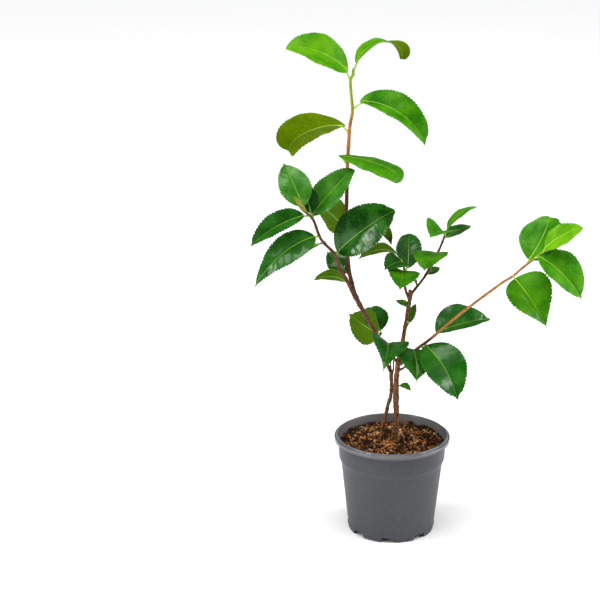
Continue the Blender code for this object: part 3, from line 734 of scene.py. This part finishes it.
BLADE_WIDEST = 0.42
BLADE_BASE_POWER = 0.72
BLADE_THICKNESS = 0.45 * MM
BLADE_COLUMNS = (-1, -0.88, -0.7, -0.52, -0.34, -0.17, 0.17, 0.34, 0.52, 0.7, 0.88, 1)
BLADE_BULGE = 0.08
BLADE_END = 0.992
BLADE_WAVE = 0.6 * MM
LEAST_HALF_WIDTH = 0.35 * MM
DRAWN_TIP = 0.9
WAIST = 0.45
UNDRAWN_HOOK = math.radians(50)
BEND_STEPS = 40
TOOTH_STEP = 2.8 * MM
TOOTH_SHAPE = (0, 0.55, 0.85, 1)
TOOTH_HEIGHT = 1.85 * MM
TOOTH_STANDS_OUT = 0.3 * MM
RIB_WIDTH = 0.95 * MM
RIB_SUNK = 0.12 * MM
RIB_KEEL = 0.45 * MM
VEIN_PAIRS = 7
VEIN_GROOVE = 0.35 * MM
VEIN_RADIUS = 0.2 * MM
VEIN_REACH = 0.84
VEIN_STEPS = 12
PUCKER = 0.6 * MM
SPOT_CORNERS = 9
STALK_RADIUS = 1.0 * MM
STALK_STEPS = 12
TWIG_SIDES = 12
TWIG_ROUGHNESS = 0.12
TWIG_SCAR_SPACING = 13
FIRST_TWIG_SEED = 20


class Leaf:
    """One leaf: sizes in millimetres, angles in degrees.

    at is the place along its stem. heading turns the leaf about Z from +X, rise
    lifts its tip, roll leans its upper face to the right of its own direction.
    arch bends the midrib down, hook bends only the tip, sweep bends it to the
    right, fold lifts both halves and widest is the share of the length where
    the blade is widest. tint names its upper colour and spots lists brown specks
    as (share of the length, column, radius in millimetres).
    """

    def __init__(self, at, heading, rise, length, width, roll=0, arch=30, fold=10, hook=0, sweep=0,
                 widest=BLADE_WIDEST, stalk=5, stalk_heading=None, stalk_rise=None, tint="dark", spots=()):
        self.at = at
        self.heading = math.radians(heading)
        self.rise = math.radians(rise)
        self.length = length * MM
        self.width = width * MM
        self.roll = math.radians(roll)
        self.arch = math.radians(arch)
        self.fold = math.radians(fold)
        self.hook = math.radians(hook)
        self.sweep = math.radians(sweep)
        self.widest = widest
        self.stalk = stalk * MM
        self.stalk_heading = math.radians(heading if stalk_heading is None else stalk_heading)
        self.stalk_rise = math.radians(rise + arch / 2 if stalk_rise is None else stalk_rise)
        self.tint = tint
        self.spots = spots
        self.dice = random.Random(round(heading * 31 + rise * 17 + length * 7))
        self.phase = self.dice.uniform(0, math.tau)
        self.scale = min(1.0, length / 70)
        self.pairs = max(3, round(VEIN_PAIRS * self.scale))
        self.track = None

    def direction(self, share):
        """The midrib's direction and the blade's own right and up at a share of its length."""
        along = aim(self.heading, self.rise)
        right = along.cross(UP).normalized()
        right.rotate(Quaternion(along, self.roll))
        out = right.cross(along)
        tip_share = max(0.0, (share - 0.7) / 0.3)
        bend = self.arch * (0.5 - share) - self.hook * tip_share ** 2
        turn = self.sweep * (share - 0.5)
        tangent = along * math.cos(bend) * math.cos(turn)
        tangent += out * math.sin(bend) + right * math.cos(bend) * math.sin(turn)
        tangent.normalize()
        right = (right - tangent * right.dot(tangent)).normalized()
        return tangent, right, right.cross(tangent)

    def start(self, base):
        """Walk the midrib once from the base and keep its points."""
        self.track = [base.copy()]
        for index in range(BEND_STEPS):
            tangent = self.direction((index + 0.5) / BEND_STEPS)[0]
            self.track.append(self.track[-1] + tangent * self.length / BEND_STEPS)

    def midrib(self, share):
        """A point on the midrib."""
        index = min(int(share * BEND_STEPS), BEND_STEPS - 1)
        return self.track[index].lerp(self.track[index + 1], share * BEND_STEPS - index)

    def half_width(self, share):
        """Half of the blade's width: rounded at the base and drawn to a point."""
        tip_power = BLADE_BASE_POWER * (1 - self.widest) / self.widest
        peak = self.widest ** BLADE_BASE_POWER * (1 - self.widest) ** tip_power
        full = self.width / 2 * share ** BLADE_BASE_POWER * (1 - share) ** tip_power / peak
        drawn = max(0.0, (share - DRAWN_TIP) / (1 - DRAWN_TIP))
        waist = WAIST * max(0.0, 1 - self.hook / UNDRAWN_HOOK)
        return max(full * (1 - waist * math.sin(math.pi * drawn)), LEAST_HALF_WIDTH)

    def surface(self, share, column, tooth=0.0):
        """A point on the blade's middle sheet and the way up from it."""
        right, out = self.direction(share)[1:]
        reach = self.half_width(share)
        side = abs(column)
        across = reach * side + tooth
        vein = (share - vein_lean(side) * reach / self.length) * (self.pairs + 1.5)
        groove = VEIN_GROOVE * self.scale * (0.5 + 0.5 * math.cos(math.tau * vein)) ** 2
        groove *= math.sin(math.pi * min(side, 1))
        wave = BLADE_WAVE * self.scale * side ** 2 * math.sin(share * 15 + self.phase + column * 2)
        flat_place = Vector((share * self.length, column * reach, self.phase * 0.02))
        wave += PUCKER * self.scale * noise.noise(flat_place * 95) * min(1.0, side * 3)
        lift = reach * ((math.sin(self.fold) + BLADE_BULGE) * side - BLADE_BULGE * side ** 2)
        point = self.midrib(share) + right * math.copysign(across * math.cos(self.fold), column)
        return point + out * (lift + wave * math.sin(math.pi * share) - groove), out


def aim(heading, rise):
    """The unit direction of a heading and a rise."""
    return level(heading) * math.cos(rise) + UP * math.sin(rise)


def vein_lean(side):
    """How far a side vein runs towards the tip, in half widths, at a share of its way out."""
    return 0.72 * side + 0.38 * side ** 2


def add_blade(shape, leaf, face_slot, back_slot, rib_slot):
    """A toothed blade: an upper face, an underside and the thin margin between them."""
    teeth = max(4, round(leaf.length / TOOTH_STEP))
    rows = teeth * len(TOOTH_SHAPE)
    bites = {side: [leaf.dice.uniform(0.4, 1.15) for tooth in range(teeth + 1)] for side in (-1, 1)}
    upper = []
    lower = []
    for index in range(rows + 1):
        share = BLADE_END * index / rows
        rib = min(0.3, RIB_WIDTH * (1.15 - share) / 2 / leaf.half_width(share))
        columns = [column for column in BLADE_COLUMNS if abs(column) > rib + 0.05]
        middle = len(columns) // 2
        columns[middle:middle] = [-rib, 0, rib]
        tooth, step = divmod(index, len(TOOTH_SHAPE))
        grown = min(1.0, 4 * share, 5 * (1 - share)) * (0.5 + 0.5 * leaf.scale)
        top_row = []
        bottom_row = []
        for column in columns:
            edge = abs(column) == 1
            bite = 0
            if edge:
                bite = TOOTH_STANDS_OUT + TOOTH_HEIGHT * bites[column][tooth] * (TOOTH_SHAPE[step] - 1)
            point, out = leaf.surface(share, column, bite * grown)
            half = BLADE_THICKNESS / 2 * (0.5 if edge else 1)
            sunk = RIB_SUNK if column == 0 else 0
            keel = RIB_KEEL * (1 - 0.7 * share) if column == 0 else 0
            top_row.append(shape.verts.new(point + out * (half - sunk)))
            bottom_row.append(shape.verts.new(point - out * (half + keel)))
        upper.append(top_row)
        lower.append(bottom_row)
    stitch_sheet(shape, upper, face_slot, rib_slot)
    stitch_sheet(shape, lower, back_slot, rib_slot)
    for edge in (0, -1):
        for index in range(rows):
            top, next_top = upper[index][edge], upper[index + 1][edge]
            bottom, next_bottom = lower[index][edge], lower[index + 1][edge]
            cap(shape, (top, next_top, next_bottom, bottom), rib_slot)
            shape.edges.get((top, next_top)).smooth = False
            shape.edges.get((bottom, next_bottom)).smooth = False
    for index in (0, rows):
        cap(shape, upper[index] + lower[index][::-1], rib_slot)


def stitch_sheet(shape, rows, slot, rib_slot):
    """Faces between rows whose counts may differ, matched outward from the midrib."""
    for near, far in zip(rows, rows[1:]):
        near_middle = len(near) // 2
        far_middle = len(far) // 2
        for side in (-1, 1):
            for step in range(max(near_middle, far_middle)):
                corners = []
                for row, middle, out in ((near, near_middle, step), (near, near_middle, step + 1),
                                         (far, far_middle, step + 1), (far, far_middle, step)):
                    corners.append(row[middle + side * min(out, middle)])
                unique = list(dict.fromkeys(corners))
                if len(unique) > 2:
                    face = shape.faces.new(unique)
                    face.smooth = True
                    face.material_index = rib_slot if step == 0 else slot


def add_veins(shape, leaf, slot):
    """Fine side veins as low ridges on the upper face."""
    for number in range(1, leaf.pairs + 1):
        root = number / (leaf.pairs + 1.5)
        for side in (-1, 1):
            points = []
            radii = []
            share = root
            for step in range(VEIN_STEPS + 1):
                out = VEIN_REACH * step / VEIN_STEPS
                for settle in range(3):
                    share = min(0.97, root + vein_lean(out) * leaf.half_width(share) / leaf.length)
                point, up = leaf.surface(share, side * max(out, 0.02))
                points.append(point + up * (BLADE_THICKNESS / 2 - VEIN_RADIUS / 10))
                radii.append(VEIN_RADIUS * (1 - out / 2))
            tube(shape, points, radii, 4, slot)


def add_spots(shape, leaf, slot):
    """Small brown specks, as uneven flecks that lie on the upper face."""
    for share, column, radius in leaf.spots:
        rim = []
        for step in range(SPOT_CORNERS):
            angle = math.tau * step / SPOT_CORNERS
            reach = radius * MM * leaf.dice.uniform(0.6, 1.2)
            near_share = share + reach * math.cos(angle) / leaf.length
            near_column = column + 0.6 * reach * math.sin(angle) / leaf.half_width(share)
            point, up = leaf.surface(near_share, near_column)
            rim.append(shape.verts.new(point + up * (BLADE_THICKNESS / 2 + 0.05 * MM)))
        cap(shape, rim, slot)


def add_stalk(shape, limb, leaf, slot):
    """A leaf's stalk, from the middle of its stem to the underside of its midrib."""
    root = limb.place(leaf.at)[0]
    base = root + aim(leaf.stalk_heading, leaf.stalk_rise) * leaf.stalk
    leaf.start(base)
    end = leaf.midrib(0.14) - leaf.direction(0.1)[2] * 0.3 * MM
    shares = [step / STALK_STEPS for step in range(STALK_STEPS + 1)]
    points = [root.lerp(base, share).lerp(base.lerp(end, share), share) for share in shares]
    radii = [STALK_RADIUS * (1.15 - 0.75 * share) for share in shares]
    radii[0] = radii[0] * 1.2
    tube(shape, *domed(points, radii), 8, slot)


def leaf_finish(name, deep, light, roughness, coat):
    """A leathery upper face, mottled between two greens under a waxy gloss."""
    made, tree = finish(name, coat_roughness=0.11, specular_IOR_level=0.08)
    cloud = tree.grain(60, 4)
    fleck = tree.grain(520, 4)
    tone = cloud.ramp(0.36, 0.64).blend(deep, light)
    tone = (fleck.ramp(0.50, 0.72) * 0.45).blend(tone, toned(light, 1.4))
    return dress(made, base_color=tone, roughness=fleck * 0.14 + roughness,
                 coat_weight=cloud.ramp(0.42, 0.60) * coat,
                 normal=tree.relief(tree.grain(1300, 3), 0.06 * MM))


def back_finish(name, deep, light):
    """A matt olive underside with a fine net of veins."""
    made, tree = finish(name, specular_IOR_level=0.02)
    net = tree.node("TexVoronoi", {"feature": "DISTANCE_TO_EDGE"}, {"Vector": tree.place(), "Scale": 480.0})
    cloud = tree.grain(60, 3)
    tone = cloud.ramp(0.3, 0.7).blend(deep, light)
    tone = (1 - net.ramp(0.0, 0.16)).blend(tone, toned(light, 1.25))
    return dress(made, base_color=tone, roughness=cloud * 0.1 + 0.65, normal=tree.relief(net, 0.12 * MM))


def rib_finish(name, deep, light):
    """Stalks, midribs and margins, streaked along their length."""
    made, tree = finish(name, specular_IOR_level=0.3)
    streak = tree.grain(500, 3)
    return dress(made, base_color=streak.ramp(0.35, 0.65).blend(deep, light), roughness=streak * 0.1 + 0.35)


# Each tint has a deep and a light tone, a roughness and a gloss. They run from dark to light.
TINTS = {
    "shaded": ((0.0006, 0.026, 0.0003), (0.004, 0.056, 0.0006), 0.6, 0.02),
    "deep": ((0.0020, 0.030, 0.0005), (0.013, 0.100, 0.0016), 0.2, 0.65),
    "dark": ((0.006, 0.062, 0.003), (0.019, 0.122, 0.007), 0.26, 0.5),
    "mid": ((0.021, 0.125, 0.005), (0.052, 0.215, 0.012), 0.30, 0.5),
    "fresh": ((0.019, 0.145, 0.0006), (0.066, 0.262, 0.0015), 0.36, 0.2),
    "bright": ((0.034, 0.205, 0.0003), (0.112, 0.340, 0.0006), 0.38, 0.06),
    "lush": ((0.075, 0.280, 0.0005), (0.170, 0.420, 0.001), 0.38, 0.06),
}
uppers = {tint: leaf_finish(tint + "_leaf", *look) for tint, look in TINTS.items()}
next_lighter = dict(zip(TINTS, list(TINTS)[1:] + ["lush"]))
olive_back = back_finish("olive_back", (0.031, 0.076, 0.002), (0.060, 0.124, 0.004))
lime_back = back_finish("lime_back", (0.057, 0.114, 0.0003), (0.114, 0.194, 0.0006))
green_rib = rib_finish("green_rib", (0.12, 0.30, 0.015), (0.22, 0.44, 0.03))
lime_rib = rib_finish("lime_rib", (0.24, 0.48, 0.02), (0.38, 0.64, 0.05))
brown_spot = rib_finish("brown_spot", (0.10, 0.07, 0.004), (0.22, 0.13, 0.010))
full_grown = ("leaf", olive_back, green_rib)
young = ("young_leaf", lime_back, lime_rib)


def grow(name, age, growths, replaced):
    """Leaves as one piece, from (limb, its leaves) pairs. age has a slot name, which is not used, and their
    back and rib.
    """
    slot, back, rib = age
    tints = sorted(TINTS)
    back_slot, rib_slot, spot_slot = range(len(tints), len(tints) + 3)
    shape = bmesh.new()
    for limb, leaves in growths:
        for leaf in leaves:
            add_stalk(shape, limb, leaf, rib_slot)
            add_blade(shape, leaf, tints.index(leaf.tint), back_slot, rib_slot)
            add_veins(shape, leaf, tints.index(next_lighter[leaf.tint]))
            add_spots(shape, leaf, spot_slot)
    piece(name, shape, [uppers[tint] for tint in tints] + [back, rib, brown_spot], replaced)


leader_twig = Limb(
    (-48.3, 9, 381.8, 1.9), (-48.2, 10, 389.1, 1.9), (-46.2, 12, 426.6, 1.8), (-43.6, 13, 444, 1.6),
    (-45.8, 14, 472.2, 1.5), (-42.6, 15, 480.5, 1.3))
left_twig = Limb(
    (-56.2, -18.1, 289.3, 1.6), (-60.4, -24, 305.6, 1.6), (-74.8, -31, 324.2, 1.4),
    (-82.4, -36, 345.2, 1.3), (-91.5, -38.5, 355.5, 1.1))
centre_left_twig = Limb((15.6, 4, 250, 1.7), (12, 7, 258, 1.3), (11, 10, 267, 1.2), (9.8, 15, 287.5, 1.1))
centre_right_twig = Limb(
    (16.8, 4.4, 250, 1.8), (19, 7, 256, 1.4), (31.6, 15, 270.6, 1.3), (46, 23, 296, 1.2),
    (52.8, 30, 312, 1.0))
right_twig = Limb(
    (107, -35.1, 281.4, 1.25), (115.6, -37.5, 287.8, 1.2), (126.2, -40, 298.6, 1.2), (146.5, -45, 317.3, 1.0))
inner_left_twig = Limb((-15.6, 1, 209.5, 1.1), (-12.6, 4, 212.5, 1.0))
inner_front_twig = Limb((4.9, -2, 182, 1.5), (0, -4, 190, 1.2), (-4.2, -5, 197.4, 1.1), (-5.5, -7, 203, 1.0))
inner_right_twig = Limb((5, -3, 175, 1.5), (10.5, -5.5, 178.5, 1.1), (15.7, -7, 184, 1.0))

top_shoot = shoot_finish("top_shoot", (0, 0, 1), 0.432, 0.456, ORANGE_BROWN, FRESH_GREEN)
side_shoot = shoot_finish("side_shoot", (1, 0, 0), 0.128, 0.142, ORANGE_BROWN, FRESH_GREEN)
twigs = (
    ("leader_twig", leader_twig, top_shoot),
    ("left_twig", left_twig, brown_bark),
    ("centre_left_twig", centre_left_twig, brown_bark),
    ("centre_right_twig", centre_right_twig, brown_bark),
    ("right_twig", right_twig, side_shoot),
    ("inner_left_twig", inner_left_twig, brown_bark),
    ("inner_front_twig", inner_front_twig, brown_bark),
    ("inner_right_twig", inner_right_twig, brown_bark),
)
for seed, (name, limb, bark) in enumerate(twigs, FIRST_TWIG_SEED):
    add_bark(name, limb, bark, seed, TWIG_ROUGHNESS, TWIG_SCAR_SPACING, TWIG_SIDES)

leader_leaves = [
    Leaf(0.90, -168, 24, 72, 43, roll=-38, arch=52, hook=45, sweep=-10, fold=12, widest=0.45, stalk=13,
         stalk_rise=78, tint="bright"),
    Leaf(0.98, 33, 0, 75, 32, roll=-7, arch=112, hook=74, widest=0.60, stalk=13, stalk_rise=72,
         tint="bright"),
    Leaf(0.63, -15, -31, 87, 37, roll=34, arch=84, hook=15, sweep=22, fold=27, widest=0.46, stalk=12,
         stalk_rise=52, tint="fresh"),
    Leaf(0.38, 147, -24, 82, 45, roll=43, arch=42, hook=90, sweep=15, fold=18, widest=0.66, stalk=10,
         stalk_rise=63, tint="bright"),
    Leaf(0.08, -30, -9, 76, 34, roll=8, arch=14, fold=-10, hook=70, sweep=22, widest=0.66, stalk=14.5,
         stalk_heading=-158, stalk_rise=46, tint="fresh"),
]
grow("leader_leaves", young, [(leader_twig, leader_leaves)], ["leader_spray"])

left_leaves = [
    Leaf(0.97, 122, 44, 52, 33, roll=-20, arch=20, stalk=6, stalk_heading=138, tint="mid"),
    Leaf(0.82, 24, 44, 66, 33, roll=36, arch=15, hook=60, fold=18, stalk=12, stalk_heading=100,
         stalk_rise=8, tint="mid"),
    Leaf(0.86, 108, 41, 41, 22, arch=20, tint="shaded"),
    Leaf(0.90, -166, -27, 63, 28, roll=-42, arch=48, hook=10, sweep=-10, fold=32, stalk=6, stalk_rise=8),
    Leaf(0.58, -155, -34, 86, 32, roll=-42, arch=68, hook=15, sweep=-22, widest=0.34, stalk_rise=8),
    Leaf(0.22, -7, 39, 74, 49, roll=62, hook=25, sweep=8, fold=20, widest=0.47, stalk=4, stalk_rise=60,
         tint="deep"),
    Leaf(0.45, 118, -30, 50, 28, stalk=6),
]
leader_low_leaves = [
    Leaf(0.52, 130, 21, 50, 38, roll=95),
    Leaf(0.56, 38, -28, 70, 28, roll=-25, arch=80, hook=30, tint="mid"),
    Leaf(0.15, 128, 23, 36, 22, roll=-45, arch=20, stalk=6),
    Leaf(0.68, 75, -34, 46, 21, stalk=6),
]
left_branch_leaf = Leaf(0.35, -175, 3, 36, 18, roll=55, arch=85, tint="mid")
grow("left_leaves", full_grown,
     [(left_twig, left_leaves), (leader, leader_low_leaves), (left_branch, [left_branch_leaf])],
     ["left_spray", "leader_left_leaf", "leader_right_leaf", "leader_low_leaf", "leader_back_leaf",
      "left_branch_leaf"])

centre_left_leaves = [
    Leaf(0.73, 86, 31, 50, 27, arch=10, hook=25, fold=4, widest=0.50, stalk_heading=20, stalk_rise=30),
    Leaf(0.96, 145, -10, 61, 21, roll=45, arch=105, stalk=4, stalk_rise=20),
    Leaf(0.93, -125, 2, 35, 26, roll=-24, arch=50, fold=18, stalk=3),
    Leaf(0.72, -98, -8, 45, 34, roll=-10, arch=60, fold=11, tint="fresh"),
    Leaf(0.80, 20, -58, 22, 13, stalk=4, tint="mid"),
]
centre_right_leaves = [
    Leaf(0.98, 25, 27, 42, 14, roll=4, arch=60, sweep=-6, stalk=7, stalk_heading=40, stalk_rise=66,
         tint="fresh"),
    Leaf(0.97, -116, 6, 37, 36, roll=-17, arch=40, fold=28, stalk=6, stalk_rise=49, tint="fresh"),
    Leaf(0.93, 40, 10, 36, 20, roll=5, stalk=4, stalk_rise=-8),
    Leaf(0.72, -110, -8, 46, 35, roll=2, arch=50, fold=9, stalk=4, tint="fresh"),
    Leaf(0.36, 40, 12, 18, 11, roll=20, arch=20, stalk=4),
]
main_stem_leaves = [
    Leaf(0.36, -35, -14, 15, 9, roll=15, arch=80, stalk=6, stalk_rise=40, tint="mid"),
    Leaf(0.88, 135, 14, 14, 12, stalk=4, stalk_rise=40, tint="mid"),
    Leaf(0.75, 60, 51, 22, 10, arch=20, stalk=8, stalk_heading=20, stalk_rise=52, tint="mid"),
]
grow("centre_leaves", full_grown,
     [(centre_left_twig, centre_left_leaves), (centre_right_twig, centre_right_leaves),
      (main_stem, main_stem_leaves)],
     ["centre_left_spray", "centre_right_spray", "main_stem_low_leaf", "main_stem_left_leaf",
      "main_stem_right_leaf"])

right_leaves = [
    Leaf(0.55, 52, 46, 57, 46, roll=8, arch=10, hook=80, sweep=-30, stalk_rise=51, tint="fresh"),
    Leaf(0.93, -9, 33, 45, 24, roll=45, arch=45, hook=40, widest=0.46, stalk_heading=-18, stalk_rise=70,
         tint="lush"),
    Leaf(0.76, -19, -42, 61, 48, roll=24, arch=46, fold=18, stalk_heading=-50, stalk_rise=30,
         tint="fresh", spots=((0.42, 0.15, 1.3), (0.28, -0.4, 1.4), (0.38, -0.3, 0.9))),
    Leaf(0.22, -33, -50, 60, 54, roll=34, arch=40, fold=23, widest=0.31, stalk_heading=-80,
         stalk_rise=-20, tint="fresh", spots=((0.42, -0.78, 1.6), (0.47, -0.82, 1.0))),
    Leaf(0.88, 70, -22, 42, 24, tint="fresh"),
]
grow("right_leaves", young, [(right_twig, right_leaves)], ["right_spray"])

inner_left_leaves = [
    Leaf(0.95, 144, 20, 40, 40, roll=95, arch=25, fold=0, sweep=-30, stalk=3, stalk_rise=0),
    Leaf(0.98, 103, 20, 44, 27, roll=-10, arch=20, hook=50, stalk=4),
]
inner_front_leaves = [
    Leaf(0.95, -98, -14, 56, 44, roll=-15, arch=50, hook=5, fold=26, widest=0.27, stalk=6, stalk_rise=62),
    Leaf(0.45, 100, 40, 12, 7, arch=20, stalk_heading=36, stalk_rise=64),
]
inner_right_leaf = Leaf(0.95, -60, -20, 8, 5, arch=20, stalk=2, tint="mid")
right_bough_leaves = [
    Leaf(0.13, -87, -32, 45, 46, roll=-14, arch=60, fold=8, widest=0.32, stalk=8, stalk_rise=52),
    Leaf(0.20, -47, -45, 68, 49, roll=16, arch=58, sweep=8, fold=12, stalk=9, stalk_heading=-40,
         stalk_rise=25),
    Leaf(0.29, 27, 4, 66, 46, roll=17, arch=28, fold=28, stalk=11, stalk_rise=36),
    Leaf(0.24, 35, -44, 48, 28, stalk=6),
]
grow("lower_leaves", full_grown,
     [(inner_left_twig, inner_left_leaves), (inner_front_twig, inner_front_leaves),
      (inner_right_twig, [inner_right_leaf]), (right_bough, right_bough_leaves)],
     ["inner_left_spray", "inner_front_spray", "inner_right_spray", "right_bough_inner_leaf",
      "right_bough_front_leaf", "right_bough_back_leaf", "right_bough_under_leaf"])

# The buds
# Slim pointed buds sit at the tips of three shoots, wrapped in overlapping green scales.

BUD_SCALES = 5
BUD_STEPS = 24


def add_bud(shape, limb, at, heading, rise, length, width, slot):
    """A pointed bud in degrees and millimetres, whose scales step in towards its tip."""
    root = limb.place(at)[0]
    along = aim(math.radians(heading), math.radians(rise))
    points = []
    radii = []
    for step in range(BUD_STEPS + 1):
        share = step / BUD_STEPS
        body = math.sin(math.pi * (0.18 + 0.80 * share)) ** 0.8
        ridge = 1 + 0.10 * (1 - (share * BUD_SCALES) % 1)
        points.append(root + along * length * MM * share)
        radii.append(width * MM / 2 * body * ridge)
    tube(shape, points, radii, 12, slot)


bud_scale = rib_finish("bud_scale", (0.12, 0.16, 0.008), (0.26, 0.26, 0.02))
green_bud = rib_finish("green_bud", (0.13, 0.27, 0.008), (0.24, 0.42, 0.016))
shape = bmesh.new()
add_bud(shape, leader_twig, 0.99, 80, 80, 7, 3, 1)
add_bud(shape, left_twig, 0.98, 175, 55, 19, 5, 0)
add_bud(shape, right_twig, 0.98, 0, 20, 6, 3, 1)
piece("buds", shape, [bud_scale, green_bud])

# The studio
# A wide pale floor under an even overhead light as broad as a lit ceiling. A soft lamp stands
# at each side and in front, two low ones graze the pot, and a faint glow comes from all round.

FLOOR_HALF = 6.0
PLANT_MIDDLE = (0, 0, 0.25)
POT_MIDDLE = (0, 0, 0.06)

floor_finish, tree = finish("studio_floor", roughness=0.9, specular_IOR_level=0.1)
dress(floor_finish, base_color=tree.grain(0.6, 1).blend((0.975, 0.975, 0.975), (0.985, 0.985, 0.985)))
shape = bmesh.new()
corners = ((-1, -1), (1, -1), (1, 1), (-1, 1))
cap(shape, [shape.verts.new((x * FLOOR_HALF, y * FLOOR_HALF, 0)) for x, y in corners])
floor = make_object("studio_floor", shape, [floor_finish])

world = bpy.data.worlds.new("studio")
world.use_nodes = True
glow = world.node_tree.nodes["Background"]
glow.inputs["Color"].default_value = (1, 1, 1, 1)
glow.inputs["Strength"].default_value = 0.2
bpy.context.scene.world = world
bpy.context.scene.view_settings.view_transform = "Standard"


def add_light(name, kind, direction, power):
    """A light of a kind that shines in a direction, as its object."""
    light = bpy.data.lights.new(name, kind)
    light.energy = power
    holder = put(name, light)
    holder.rotation_euler = Vector(direction).to_track_quat("-Z", "Y").to_euler()
    return holder


def lamp(name, place, target, size, power):
    """A square soft lamp that faces a point."""
    holder = add_light(name, "AREA", Vector(target) - Vector(place), power)
    holder.location = place
    holder.data.size = size


lamp("left_lamp", (-1.75, -0.3, 1.5), PLANT_MIDDLE, 0.9, 26)
lamp("right_lamp", (1.8, 0.1, 1.1), PLANT_MIDDLE, 1.0, 26)
lamp("front_lamp", (-0.4, -1.7, 2.4), PLANT_MIDDLE, 1.2, 8)
lamp("low_left_lamp", (-1.3, -1.1, 0.4), POT_MIDDLE, 0.35, 6)
lamp("low_right_lamp", (1.5, -0.8, 0.4), POT_MIDDLE, 0.35, 4)
overhead = add_light("overhead_light", "SUN", (0.0, 0.12, -1), 2.2)
overhead.data.angle = math.radians(46)

# The camera
# It stands two metres in front, a little left of the pot, and looks down on it.

CAMERA_PLACE = (-0.0956, -2.0041, 0.9285)
CAMERA_LENS = 125
SENSOR_WIDTH = 36
LOOK_DOWN = 18.7

camera = put("camera", bpy.data.cameras.new("camera"))
camera.data.lens = CAMERA_LENS
camera.data.sensor_width = SENSOR_WIDTH
camera.location = CAMERA_PLACE
camera.rotation_euler = (math.radians(90 - LOOK_DOWN), 0, 0)
bpy.context.scene.camera = camera
